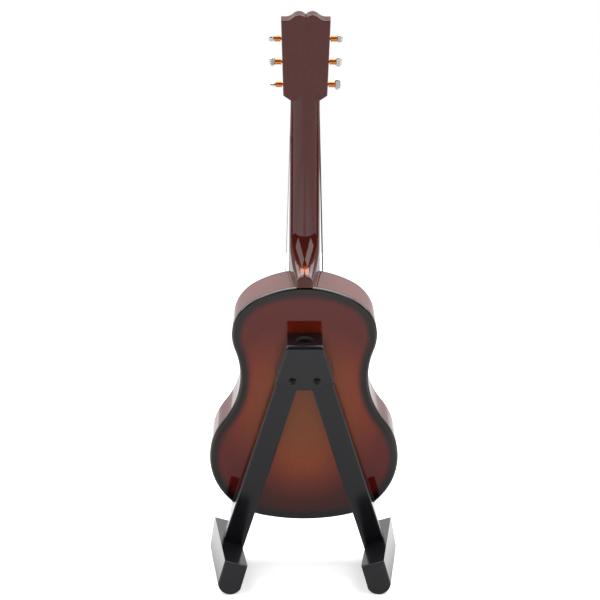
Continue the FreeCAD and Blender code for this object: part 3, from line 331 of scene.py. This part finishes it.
# mahogany pores: short dark streaks along the neck's direction
grain_place = add(tree, "Mapping", {"Vector": space, "Scale": (1 / PORE_WIDE, 1 / PORE_LONG, 1)})
grain = add(tree, "TexNoise", {"Vector": grain_place.outputs[0], "Scale": 1.0, "Detail": 3.0})
grain_tone = add(tree, "MapRange", {"Value": grain.outputs["Fac"], "From Min": 0.3,
                                    "From Max": 0.7, "To Min": 0.93, "To Max": 1.05})
# painted shade: the plate is darkened over the last 18 mm towards the tail, where less light
# reaches it, and over 4 mm below the heel, in the heel's shade
up_body = add(tree, "SeparateXYZ", {0: space})
tail = add(tree, "MapRange", {"Value": up_body.outputs["Y"], "From Min": TAIL_PAINTED_SHADE[0],
                              "From Max": TAIL_PAINTED_SHADE[1], "To Min": 0.35, "To Max": 1.0})
crown = add(tree, "MapRange", {"Value": up_body.outputs["Y"], "From Min": HEEL_PAINTED_SHADE[0],
                               "From Max": HEEL_PAINTED_SHADE[1], "To Min": 1.0, "To Max": 0.4})
# the painted shade at both ends, multiplied into the grain's tone
painted_end_shade = add(tree, "Math", {0: tail.outputs[0], 1: crown.outputs[0]}, operation="MULTIPLY")
tone = add(tree, "Math", {0: grain_tone.outputs[0], 1: painted_end_shade.outputs[0]}, operation="MULTIPLY")
wood = add(tree, "Mix", {"Factor": 1.0, 6: colours.outputs["Color"],
                         7: tone.outputs[0]}, data_type="RGBA", blend_type="MULTIPLY")
# the rim is near-black, and the black is gone a few millimetres in
edge = add(tree, "Attribute", attribute_name="edge_mm")
rim_fade = add(tree, "MapRange", {"Value": edge.outputs["Fac"], "From Min": RIM_BLACK,
                                  "From Max": RIM_CLEAR}, interpolation_type="SMOOTHSTEP")
burst = add(tree, "Mix", {"Factor": rim_fade.outputs[0], 6: linear("#150A08"),
                          7: wood.outputs[2]}, data_type="RGBA")
tree.links.new(burst.outputs[2], bsdf.inputs["Base Color"])
wear(burst_back, back_piece)


# ------------------------------------------------------------------ ribs
# Two mahogany strips bent to the outline and butted at heel and tail, glued between the plates.
# Sprayed an even red-brown under the same gloss lacquer.
STREAK_LONG = 7.0
STREAK_WIDE = 0.35

# gloss over stained mahogany: a smooth red-brown with faint streaks that run round the body
side_finish, tree, bsdf = new_material("red_brown_lacquer_on_ribs")
lacquered(bsdf)
space = guitar_space(tree)
streaks = add(tree, "Mapping", {"Vector": space, "Scale": (1 / STREAK_LONG, 1 / STREAK_LONG,
                                                            1 / STREAK_WIDE)})
grain = add(tree, "TexNoise", {"Vector": streaks.outputs[0], "Scale": 1.0, "Detail": 3.0})
tone = add(tree, "ValToRGB", {"Fac": grain.outputs["Fac"]})
tone.color_ramp.elements[0].position = 0.3
tone.color_ramp.elements[0].color = linear("#561A10")
tone.color_ramp.elements[1].position = 0.7
tone.color_ramp.elements[1].color = linear("#662012")
tree.links.new(tone.outputs["Color"], bsdf.inputs["Base Color"])
wear(side_finish, nodes["rib_left"], nodes["rib_right"])


# ------------------------------------------------------------------ blocks
# Spruce blocks inside the body that take the neck and the tail joint, left bare.
# sawn spruce without a finish: pale and matt, with soft year rings 0.4 mm apart
bare_wood, tree, bsdf = new_material("bare_spruce_block")
bsdf.inputs["Roughness"].default_value = 0.7
rings = add(tree, "TexWave", {"Vector": guitar_space(tree), "Scale": 0.8, "Distortion": 1.5,
                              "Detail": 2.0}, bands_direction="X")
tone = add(tree, "ValToRGB", {"Fac": rings.outputs["Fac"]})
tone.color_ramp.elements[0].color = linear("#C8A672")
tone.color_ramp.elements[1].color = linear("#DCC294")
tree.links.new(tone.outputs["Color"], bsdf.inputs["Base Color"])
wear(bare_wood, nodes["neck_block"], nodes["tail_block"])


# ------------------------------------------------------------------ soundboard
# Spruce front with a round soundhole, its edge lightly rounded, bound by thin pale and dark
# lines and sprayed in a sunburst from amber to near-black.
HOLE_V = -25.0
HOLE_ROUND = 8.0
TOP_ROUND = 0.5
TOP_LAP = 2.6
BURST_DEEP = 24.0
# the purfling line lies between these two insets, its edges softened over the third
PURFLING_OUTER = 0.55
PURFLING_INNER = 0.9
PURFLING_SOFT = 0.05

towards = rim - [0, HOLE_V]
hole_edge = [0, HOLE_V] + HOLE_ROUND * towards / np.linalg.norm(towards, axis=1)[:, None]
turn = quarter(6)
low, high = BODY_DEEP - PLATE_THICK, BODY_DEEP
top_profile = np.concatenate([
    [[TOP_LAP, low], [0.05, low], [0, low], [0, low + 0.05]],
    np.stack([TOP_ROUND * (1 - np.cos(turn)), high - TOP_ROUND * (1 - np.sin(turn))], axis=1),
    [[TOP_ROUND + 0.03, high], [1.1, high], [1.6, high], [TOP_LAP, high]]])
top_grid = plate(top_profile, RIM_STEPS, hole_edge)
top_piece = grid_piece("soundboard_lacquered", top_grid, "guitar", wrap=(True, True),
                       fields={"edge_mm": edge_distance(top_grid)})
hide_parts("soundboard")

# gloss lacquer over spruce: an amber glow crossed by straight fine lines
burst_top, tree, bsdf = new_material("sunburst_lacquer_on_spruce")
lacquered(bsdf)
# spruce year rings run along the neck's direction, 1.1 mm apart
rings = add(tree, "TexWave", {"Vector": guitar_space(tree), "Scale": 0.28, "Distortion": 1.2,
                              "Detail": 2.0, "Detail Scale": 0.4}, bands_direction="X")
ring_tone = add(tree, "MapRange", {"Value": rings.outputs["Fac"], "To Min": 0.86, "To Max": 1.04})
edge = add(tree, "Attribute", attribute_name="edge_mm")
fade = add(tree, "MapRange", {"Value": edge.outputs["Fac"], "From Min": 0.0,
                              "From Max": BURST_DEEP})
tone = add(tree, "ValToRGB", {"Fac": fade.outputs[0]})
ramp = tone.color_ramp
ramp.elements[0].position = 0.12
ramp.elements[0].color = linear("#160A08")
ramp.elements[1].position = 1.0
ramp.elements[1].color = linear("#C8782A")
for position, colour in ((0.3, "#4A150A"), (0.55, "#96400F")):
    ramp.elements.new(position).color = linear(colour)
wood = add(tree, "Mix", {"Factor": 1.0, 6: tone.outputs["Color"], 7: ring_tone.outputs[0]},
           data_type="RGBA", blend_type="MULTIPLY")
# purfling: one ivory line 0.35 mm wide, 0.75 mm in from the edge
line = add(tree, "MapRange", {"Value": edge.outputs["Fac"], "From Min": PURFLING_OUTER,
                              "From Max": PURFLING_OUTER + PURFLING_SOFT})
line_end = add(tree, "MapRange", {"Value": edge.outputs["Fac"], "From Min": PURFLING_INNER,
                                  "From Max": PURFLING_INNER + PURFLING_SOFT})
strip = add(tree, "Math", {0: line.outputs[0], 1: line_end.outputs[0]}, operation="SUBTRACT")
bound = add(tree, "Mix", {"Factor": strip.outputs[0], 6: wood.outputs[2],
                          7: linear("#E2D4B0")}, data_type="RGBA")
tree.links.new(bound.outputs[2], bsdf.inputs["Base Color"])
wear(burst_top, top_piece)


# ------------------------------------------------------------------ rosette
# Ring of inlaid strips round the soundhole: ivory and black lines with a band of dark wood.
ROSETTE_INNER = 8.7
ROSETTE_OUTER = 10.3

# dyed and plain strips let in flush and lacquered over: crisp rings under a gloss
inlay, tree, bsdf = new_material("inlaid_wood_strips")
lacquered(bsdf)
centre = add(tree, "Mapping", {"Vector": guitar_space(tree), "Location": (0, -HOLE_V, 0),
                               "Scale": (1, 1, 0)})
radius = add(tree, "VectorMath", {0: centre.outputs[0]}, operation="LENGTH")
across = add(tree, "MapRange", {"Value": radius.outputs["Value"], "From Min": ROSETTE_INNER,
                                "From Max": ROSETTE_OUTER})
tone = add(tree, "ValToRGB", {"Fac": across.outputs[0]})
ramp = tone.color_ramp
ramp.interpolation = "CONSTANT"
ramp.elements[0].color = linear("#14100E")
ramp.elements[1].position = 0.86
ramp.elements[1].color = linear("#14100E")
for position, colour in ((0.14, "#E2D4B0"), (0.26, "#4A2416"), (0.74, "#E2D4B0")):
    ramp.elements.new(position).color = linear(colour)
tree.links.new(tone.outputs["Color"], bsdf.inputs["Base Color"])
wear(inlay, nodes["rosette"])


# ------------------------------------------------------------------ neck and heel cap
# One carved piece of mahogany, rounded behind, with the headstock tilted back and a heel that
# narrows to its cap.  Sprayed dark red-brown under gloss lacquer.
# the point on the heel's nose where an amber highlight is painted, and the radii over which it
# fades out
HEEL_NOSE = (0, 10.4, 3.2)
HIGHLIGHT_CORE = 1.0
HIGHLIGHT_EDGE = 2.6

# stained mahogany under gloss lacquer: dark red, hardly any grain, and mirror-sharp highlights
neck_finish, tree, bsdf = new_material("dark_red_lacquer_on_neck")
lacquered(bsdf)
space = guitar_space(tree)
streaks = add(tree, "Mapping", {"Vector": space, "Scale": (1 / 0.4, 1 / 8, 1 / 0.4)})
grain = add(tree, "TexNoise", {"Vector": streaks.outputs[0], "Scale": 1.0, "Detail": 3.0})
tone = add(tree, "ValToRGB", {"Fac": grain.outputs["Fac"]})
tone.color_ramp.elements[0].position = 0.3
tone.color_ramp.elements[0].color = linear("#40110E")
tone.color_ramp.elements[1].position = 0.7
tone.color_ramp.elements[1].color = linear("#4C1610")
# painted highlight: an amber patch 5 mm across on the heel's nose just over the cap, where the
# heel catches the light
highlight_distance = add(tree, "VectorMath", {0: space, 1: HEEL_NOSE}, operation="DISTANCE")
painted_highlight = add(tree, "MapRange", {"Value": highlight_distance.outputs["Value"], "From Min": HIGHLIGHT_CORE,
                                "From Max": HIGHLIGHT_EDGE, "To Min": 1.0, "To Max": 0.0},
             interpolation_type="SMOOTHSTEP")
with_painted_highlight = add(tree, "Mix", {"Factor": painted_highlight.outputs[0], 6: tone.outputs["Color"],
                           7: linear("#A04512")}, data_type="RGBA")
tree.links.new(with_painted_highlight.outputs[2], bsdf.inputs["Base Color"])
wear(neck_finish, nodes["neck"], nodes["heel_cap"])


# ------------------------------------------------------------------ fretboard and bridge
# Dark open-pored hardwood, oiled rather than lacquered: the tapered board on the neck and the
# bridge glued to the front.
BOARD_PORE_WIDE = 0.25
BOARD_PORE_LONG = 3.0

# oiled hardwood: nearly black-brown, a dull sheen broken by open pores along the board
hardwood, tree, bsdf = new_material("oiled_dark_hardwood")
bsdf.inputs["Roughness"].default_value = 0.42
pores = add(tree, "Mapping", {"Vector": guitar_space(tree),
                              "Scale": (1 / BOARD_PORE_WIDE, 1 / BOARD_PORE_LONG,
                                        1 / BOARD_PORE_WIDE)})
grain = add(tree, "TexNoise", {"Vector": pores.outputs[0], "Scale": 1.0, "Detail": 4.0})
tone = add(tree, "ValToRGB", {"Fac": grain.outputs["Fac"]})
tone.color_ramp.elements[0].position = 0.35
tone.color_ramp.elements[0].color = linear("#1C100C")
tone.color_ramp.elements[1].position = 0.7
tone.color_ramp.elements[1].color = linear("#40281C")
tree.links.new(tone.outputs["Color"], bsdf.inputs["Base Color"])
bump = add(tree, "Bump", {"Height": grain.outputs["Fac"], "Strength": 0.15, "Distance": 0.00005})
tree.links.new(bump.outputs[0], bsdf.inputs["Normal"])
wear(hardwood, nodes["fretboard"], nodes["bridge"])


# ------------------------------------------------------------------ frets
# Half-round nickel-silver wires pressed into the board, their crowns polished.
# nickel silver rubbed bright: silvery with a warm cast, scratched a quarter millimetre apart
nickel, tree, bsdf = new_material("polished_nickel_silver")
bsdf.inputs["Base Color"].default_value = linear("#D6D2C8")
bsdf.inputs["Metallic"].default_value = 1.0
scratches = add(tree, "TexNoise", {"Vector": guitar_space(tree), "Scale": 4.0, "Detail": 3.0})
gloss = add(tree, "MapRange", {"Value": scratches.outputs["Fac"], "To Min": 0.12, "To Max": 0.3})
tree.links.new(gloss.outputs[0], bsdf.inputs["Roughness"])
wear(nickel, nodes["frets"])


# ------------------------------------------------------------------ position dots
# Discs of pearl let into the board: pale, with faint clouds of pink and green.
# polished shell: smooth and pale, its clouds about 0.6 mm across
pearl, tree, bsdf = new_material("mother_of_pearl")
bsdf.inputs["Roughness"].default_value = 0.2
clouds = add(tree, "TexNoise", {"Vector": guitar_space(tree), "Scale": 1.6, "Detail": 2.0})
tone = add(tree, "ValToRGB", {"Fac": clouds.outputs["Fac"]})
tone.color_ramp.elements[0].position = 0.35
tone.color_ramp.elements[0].color = linear("#D8E0DA")
tone.color_ramp.elements[1].position = 0.65
tone.color_ramp.elements[1].color = linear("#F0E2E2")
tree.links.new(tone.outputs["Color"], bsdf.inputs["Base Color"])
wear(pearl, nodes["position_dots"])


# ------------------------------------------------------------------ nut and saddle
# Two bars of cut and polished bone that the strings cross.
# polished bone: cream with a soft shine, mottled about every millimetre
bone, tree, bsdf = new_material("polished_bone")
bsdf.inputs["Roughness"].default_value = 0.32
mottle = add(tree, "TexNoise", {"Vector": guitar_space(tree), "Scale": 0.9, "Detail": 3.0})
tone = add(tree, "ValToRGB", {"Fac": mottle.outputs["Fac"]})
tone.color_ramp.elements[0].position = 0.3
tone.color_ramp.elements[0].color = linear("#E0D4B8")
tone.color_ramp.elements[1].position = 0.7
tone.color_ramp.elements[1].color = linear("#EFE7D4")
tree.links.new(tone.outputs["Color"], bsdf.inputs["Base Color"])
wear(bone, nodes["nut"], nodes["saddle"])


# ------------------------------------------------------------------ bridge pins
# Six turned plastic pins with low domed heads.
# turned plastic: an even ivory and a clean shine, with specks 0.4 mm across
pin_plastic, tree, bsdf = new_material("turned_ivory_plastic")
bsdf.inputs["Roughness"].default_value = 0.28
speck = add(tree, "TexNoise", {"Vector": guitar_space(tree), "Scale": 2.5, "Detail": 2.0})
tone = add(tree, "ValToRGB", {"Fac": speck.outputs["Fac"]})
tone.color_ramp.elements[0].color = linear("#E6DEC8")
tone.color_ramp.elements[1].color = linear("#F2ECDC")
tree.links.new(tone.outputs["Color"], bsdf.inputs["Base Color"])
wear(pin_plastic, nodes["bridge_pins"])


# ------------------------------------------------------------------ strings
# Three plain steel wires and three wound with fine bronze, taut from bridge to posts.
# drawn steel: thin silver lines with a slightly uneven gloss
steel_wire, tree, bsdf = new_material("drawn_steel_wire")
bsdf.inputs["Base Color"].default_value = linear("#B8B8BA")
bsdf.inputs["Metallic"].default_value = 1.0
drawn = add(tree, "TexNoise", {"Vector": guitar_space(tree), "Scale": 3.0})
gloss = add(tree, "MapRange", {"Value": drawn.outputs["Fac"], "To Min": 0.2, "To Max": 0.34})
tree.links.new(gloss.outputs[0], bsdf.inputs["Roughness"])
wear(steel_wire, *[nodes[f"string_{number}"] for number in (1, 2, 3)])

# bronze winding gone dull: a brown-grey line, ribbed across
bronze_wound, tree, bsdf = new_material("bronze_wound_wire")
bsdf.inputs["Base Color"].default_value = linear("#54483F")
bsdf.inputs["Metallic"].default_value = 1.0
bsdf.inputs["Roughness"].default_value = 0.34
# the winding's turns are 0.2 mm apart
winding = add(tree, "TexWave", {"Vector": guitar_space(tree), "Scale": 1.57}, bands_direction="Y")
bump = add(tree, "Bump", {"Height": winding.outputs["Fac"], "Strength": 0.5, "Distance": 0.00004})
tree.links.new(bump.outputs[0], bsdf.inputs["Normal"])
wear(bronze_wound, *[nodes[f"string_{number}"] for number in (4, 5, 6)])


# ------------------------------------------------------------------ string posts and bushings
# Nickel-plated posts standing in thin rings on the headstock's face.
# nickel plate: bright and neutral, with faint stains 0.5 mm across
plated, tree, bsdf = new_material("nickel_plated_steel")
bsdf.inputs["Base Color"].default_value = linear("#CFCFD0")
bsdf.inputs["Metallic"].default_value = 1.0
stain = add(tree, "TexNoise", {"Vector": guitar_space(tree), "Scale": 2.0, "Detail": 2.0})
gloss = add(tree, "MapRange", {"Value": stain.outputs["Fac"], "To Min": 0.14, "To Max": 0.26})
tree.links.new(gloss.outputs[0], bsdf.inputs["Roughness"])
wear(plated, nodes["string_posts"], nodes["post_bushings"])


# ------------------------------------------------------------------ tuning pegs
# Ribbed barrels in copper-coloured plate, each with a bright oval button pressed on its end.
# copper-gold plate: a warm orange with soft highlights, tarnished in patches under a millimetre
gold_plate, tree, bsdf = new_material("copper_gold_plate")
bsdf.inputs["Metallic"].default_value = 1.0
bsdf.inputs["Roughness"].default_value = 0.42
tarnish = add(tree, "TexNoise", {"Vector": guitar_space(tree), "Scale": 1.2, "Detail": 2.0})
tone = add(tree, "ValToRGB", {"Fac": tarnish.outputs["Fac"]})
tone.color_ramp.elements[0].color = linear("#C86A34")
tone.color_ramp.elements[1].color = linear("#E89A5A")
tree.links.new(tone.outputs["Color"], bsdf.inputs["Base Color"])

# nickel plate with a satin skin: pale grey, its reflections soft
bright_plate, tree, bsdf = new_material("bright_nickel_plate")
bsdf.inputs["Base Color"].default_value = linear("#C6C4C0")
bsdf.inputs["Metallic"].default_value = 1.0
stain = add(tree, "TexNoise", {"Vector": guitar_space(tree), "Scale": 1.5, "Detail": 2.0})
gloss = add(tree, "MapRange", {"Value": stain.outputs["Fac"], "To Min": 0.3, "To Max": 0.42})
tree.links.new(gloss.outputs[0], bsdf.inputs["Roughness"])
for number in range(1, 7):
    wear(gold_plate, nodes[f"peg_barrel_{number}"])
    wear(bright_plate, nodes[f"peg_button_{number}"])


# ------------------------------------------------------------------ stand
# Head and two legs moulded in black plastic with a satin gloss; each leg is one piece with its
# foot and its arm, and turns on a riveted pin through the head.
# the post socket's middle line runs this far behind the back plate, and its mouth's bevel ends
# about 3 mm from that line
SOCKET_BEHIND = 6.2
SOCKET_MATT = (2.9, 3.1)
MOULD_GRAIN = 0.25

# moulded plastic: blue-black, a satin gloss that mirrors pale things softly
black_plastic, tree, bsdf = new_material("moulded_black_plastic")
bsdf.inputs["IOR"].default_value = 1.5
coordinates = add(tree, "TexCoord")
# a spark-eroded mould leaves its grains on the skin
texture = add(tree, "TexNoise", {"Vector": coordinates.outputs["Object"],
                                 "Scale": 1000 / MOULD_GRAIN, "Detail": 2.0})
tone = add(tree, "ValToRGB", {"Fac": texture.outputs["Fac"]})
tone.color_ramp.elements[0].color = linear("#101013")
tone.color_ramp.elements[1].color = linear("#16161B")
tree.links.new(tone.outputs["Color"], bsdf.inputs["Base Color"])
gloss = add(tree, "MapRange", {"Value": texture.outputs["Fac"], "To Min": 0.14, "To Max": 0.2})
# the post socket and the bevel at its mouth stay matt
bore = add(tree, "Mapping", {"Vector": guitar_space(tree), "Location": (0, 0, SOCKET_BEHIND),
                             "Scale": (1, 0, 1)})
off_line = add(tree, "VectorMath", {0: bore.outputs[0]}, operation="LENGTH")
matt = add(tree, "MapRange", {"Value": off_line.outputs["Value"], "From Min": SOCKET_MATT[0],
                              "From Max": SOCKET_MATT[1], "To Min": 0.7, "To Max": 0.0})
rough = add(tree, "Math", {0: gloss.outputs[0], 1: matt.outputs[0]}, operation="MAXIMUM")
tree.links.new(rough.outputs[0], bsdf.inputs["Roughness"])
wear(black_plastic, nodes["stand_head"], nodes["leg_left"], nodes["leg_right"])

# steel under a black oxide skin: a dark disc that hardly mirrors, uneven every 0.33 mm
rivet, tree, bsdf = new_material("blackened_steel_rivet")
bsdf.inputs["Specular IOR Level"].default_value = 0.16
bsdf.inputs["Roughness"].default_value = 0.32
coordinates = add(tree, "TexCoord")
texture = add(tree, "TexNoise", {"Vector": coordinates.outputs["Object"], "Scale": 3000.0})
tone = add(tree, "ValToRGB", {"Fac": texture.outputs["Fac"]})
tone.color_ramp.elements[0].color = linear("#08080A")
tone.color_ramp.elements[1].color = linear("#101013")
tree.links.new(tone.outputs["Color"], bsdf.inputs["Base Color"])
wear(rivet, nodes["hinge_pin_left"], nodes["hinge_pin_right"])


# ------------------------------------------------------------------ floor and studio
# A white table in a white room, lit by five soft boxes: a tall pair above and beside the viewer,
# a wide one overhead, past the guitar, and a low pair beside it for its edges.  The dark of the
# studio shows only in the gloss.
TABLE = 1.0
# what gloss sees of the table: its level beside the object and far off, and how far that takes
GLOSS_NEAR = 0.52
GLOSS_FAR = 0.96
GLOSS_REACH = 0.16
# the side where a window's light falls, and how much brighter the table is there
WINDOW_SPAN = (0.05, 0.3)
WINDOW_GAIN = 1.3
# strips beside the feet, brighter near the object
FLANK_SPAN = (0.033, 0.045)
FLANK_LIFT = 0.9
NEARBY = (0.2, 0.35)
# bearings between which the black cloths hang, and their level
CLOTH_START = (math.radians(98), math.radians(106))
CLOTH_END = (math.radians(124), math.radians(134))
CLOTH_LEVEL = 0.1
floor_mesh = bpy.data.meshes.new("table_top")
floor_mesh.from_pydata([(-TABLE, -TABLE, 0), (TABLE, -TABLE, 0), (TABLE, TABLE, 0),
                        (-TABLE, TABLE, 0)], [], [(0, 1, 2, 3)])
floor = bpy.data.objects.new("table_top", floor_mesh)
bpy.context.scene.collection.objects.link(floor)
floor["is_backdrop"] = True

# matt laminate: an even white that takes the object's shadow
white, tree, bsdf = new_material("matt_white_laminate")
tree.nodes.remove(bsdf)
output = tree.nodes["Material Output"]
light_path = add(tree, "LightPath")
paint = add(tree, "BsdfDiffuse", {"Color": linear("#F0F0F0")})
lift = add(tree, "Math", {0: light_path.outputs["Is Camera Ray"], 1: 0.5}, operation="MULTIPLY")
glow = add(tree, "Emission", {"Strength": lift.outputs[0]})
seen = add(tree, "AddShader", {0: paint.outputs[0], 1: glow.outputs[0]})
# in the gloss the table is white far off, greyer beside the object, brighter on its left, and
# black cloths hang out to either side, a little behind the object
spot = add(tree, "TexCoord").outputs["Object"]
place = add(tree, "SeparateXYZ", {0: spot})
away = add(tree, "VectorMath", {0: spot}, operation="LENGTH")
level = add(tree, "MapRange", {"Value": away.outputs["Value"], "From Min": 0.0,
                               "From Max": GLOSS_REACH, "To Min": GLOSS_NEAR,
                               "To Max": GLOSS_FAR})
window = add(tree, "MapRange", {"Value": place.outputs["X"], "From Min": WINDOW_SPAN[0],
                                "From Max": WINDOW_SPAN[1], "To Min": 1.0,
                                "To Max": WINDOW_GAIN})
table = add(tree, "Math", {0: level.outputs[0], 1: window.outputs[0]}, operation="MULTIPLY")
aside = add(tree, "Math", {0: place.outputs["X"]}, operation="ABSOLUTE")
# close beside the feet it is brighter again
flank = add(tree, "MapRange", {"Value": aside.outputs[0], "From Min": FLANK_SPAN[0],
                               "From Max": FLANK_SPAN[1]})
close = add(tree, "MapRange", {"Value": away.outputs["Value"], "From Min": NEARBY[0],
                               "From Max": NEARBY[1], "To Min": FLANK_LIFT, "To Max": 0.0})
lit = add(tree, "Math", {0: flank.outputs[0], 1: close.outputs[0], 2: table.outputs[0]},
          operation="MULTIPLY_ADD")
bearing = add(tree, "Math", {0: aside.outputs[0], 1: place.outputs["Y"]}, operation="ARCTAN2")
cloth_start = add(tree, "MapRange", {"Value": bearing.outputs[0], "From Min": CLOTH_START[0],
                                     "From Max": CLOTH_START[1]})
cloth_end = add(tree, "MapRange", {"Value": bearing.outputs[0], "From Min": CLOTH_END[0],
                                   "From Max": CLOTH_END[1]})
cloth_wedge = add(tree, "Math", {0: cloth_start.outputs[0], 1: cloth_end.outputs[0]},
                  operation="SUBTRACT")
cloth_far = add(tree, "MapRange", {"Value": away.outputs["Value"], "From Min": NEARBY[0],
                                   "From Max": NEARBY[1]})
cloth = add(tree, "Math", {0: cloth_wedge.outputs[0], 1: cloth_far.outputs[0]},
            operation="MULTIPLY")
mirror = add(tree, "Mix", {"Factor": cloth.outputs[0], 2: lit.outputs[0], 3: CLOTH_LEVEL},
             data_type="FLOAT")
mirrored = add(tree, "Emission", {"Strength": mirror.outputs[0]})
either = add(tree, "Math", {0: light_path.outputs["Is Glossy Ray"],
                            1: light_path.outputs["Is Transmission Ray"]}, operation="MAXIMUM")
mixed = add(tree, "MixShader", {0: either.outputs[0], 1: seen.outputs[0], 2: mirrored.outputs[0]})
tree.links.new(mixed.outputs[0], output.inputs["Surface"])
wear(white, floor)

# the room's own light, the level of its unlit side, and of its wall from the table up
ROOM_LIGHT = 0.28
DARK_SIDE = 0.04
WALL_LOW = 0.65
WALL_HIGH = 1.08
world = bpy.data.worlds.new("white_room")
bpy.context.scene.world = world
world.use_nodes = True
tree = world.node_tree
tree.nodes.clear()
ray = add(tree, "SeparateXYZ", {0: add(tree, "TexCoord").outputs["Generated"]})
# the unlit studio lies behind the viewer, between the table's edge and the soft boxes
behind = add(tree, "MapRange", {"Value": ray.outputs["Y"], "From Min": -0.1, "From Max": 0.15})
# the far wall grows brighter from the table up
walls = add(tree, "MapRange", {"Value": ray.outputs["Z"], "From Min": 0.05, "From Max": 0.45,
                               "To Min": WALL_LOW, "To Max": WALL_HIGH})
gloss_level = add(tree, "MapRange", {"Value": behind.outputs[0], "To Min": walls.outputs[0],
                                     "To Max": DARK_SIDE})
light_path = add(tree, "LightPath")
either = add(tree, "Math", {0: light_path.outputs["Is Glossy Ray"],
                            1: light_path.outputs["Is Transmission Ray"]}, operation="MAXIMUM")
level = add(tree, "Mix", {"Factor": either.outputs[0], 2: ROOM_LIGHT,
                          3: gloss_level.outputs[0]}, data_type="FLOAT")
final = add(tree, "Mix", {"Factor": light_path.outputs["Is Camera Ray"],
                          2: level.outputs[0], 3: 1.0}, data_type="FLOAT")
sky = add(tree, "Background", {"Color": (1, 1, 1, 1), "Strength": final.outputs[0]})
tree.links.new(sky.outputs[0], add(tree, "OutputWorld").inputs["Surface"])

# name, azimuth from the viewer's side, elevation, distance, width, height, radiance
SOFT_BOXES = (("left", 46, 52, 1.1, 0.52, 0.85, 2.5),
              ("right", -46, 52, 1.1, 0.52, 0.85, 3.1),
              ("above", 180, 71, 1.0, 1.4, 0.66, 5.5),
              ("left_edge", 114, 35, 1.1, 0.6, 0.5, 3.6),
              ("right_edge", -114, 35, 1.1, 0.6, 0.5, 3.6))
# all of them face a point halfway up the object
BOXES_FACE = np.array([0, 0, 0.1])
for label, azimuth, elevation, reach, wide, high, radiance in SOFT_BOXES:
    lamp = bpy.data.lights.new(f"soft_box_{label}", "AREA")
    lamp.shape = "RECTANGLE"
    lamp.size = wide
    lamp.size_y = high
    lamp.energy = radiance * math.pi * wide * high
    holder = bpy.data.objects.new(f"soft_box_{label}", lamp)
    bpy.context.scene.collection.objects.link(holder)
    side, height = math.radians(azimuth), math.radians(elevation)
    way = np.array([math.sin(side) * math.cos(height), math.cos(side) * math.cos(height),
                    math.sin(height)])
    holder.location = BOXES_FACE + reach * way
    holder.rotation_euler = (math.pi / 2 - height, 0, math.pi - side)

# The viewer stands behind the guitar, a little above it, the view hardly rolled.
VIEW_YAW = math.radians(0.45)
VIEW_RISE = math.radians(8.23)
VIEW_ROLL = math.radians(0.13)
VIEW_AWAY = 0.5229
VIEW_ANGLE = math.radians(21.9)
AIM_ASIDE = 1.77
AIM_LIFT = 0.00048
aim = to_world([AIM_ASIDE, 0, 0]) + [0, 0, AIM_LIFT]
camera = bpy.data.cameras.new("viewer")
camera.sensor_width = 36
camera.angle = VIEW_ANGLE
camera.clip_start = 0.01
viewer = bpy.data.objects.new("viewer", camera)
bpy.context.scene.collection.objects.link(viewer)
viewer.location = aim + VIEW_AWAY * np.array([math.sin(VIEW_YAW) * math.cos(VIEW_RISE),
                                              math.cos(VIEW_YAW) * math.cos(VIEW_RISE),
                                              math.sin(VIEW_RISE)])
viewer.rotation_euler = (math.pi / 2 - VIEW_RISE, -VIEW_ROLL, math.pi - VIEW_YAW)
bpy.context.scene.camera = viewer
bpy.context.scene.view_settings.view_transform = "Standard"

low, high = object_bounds()
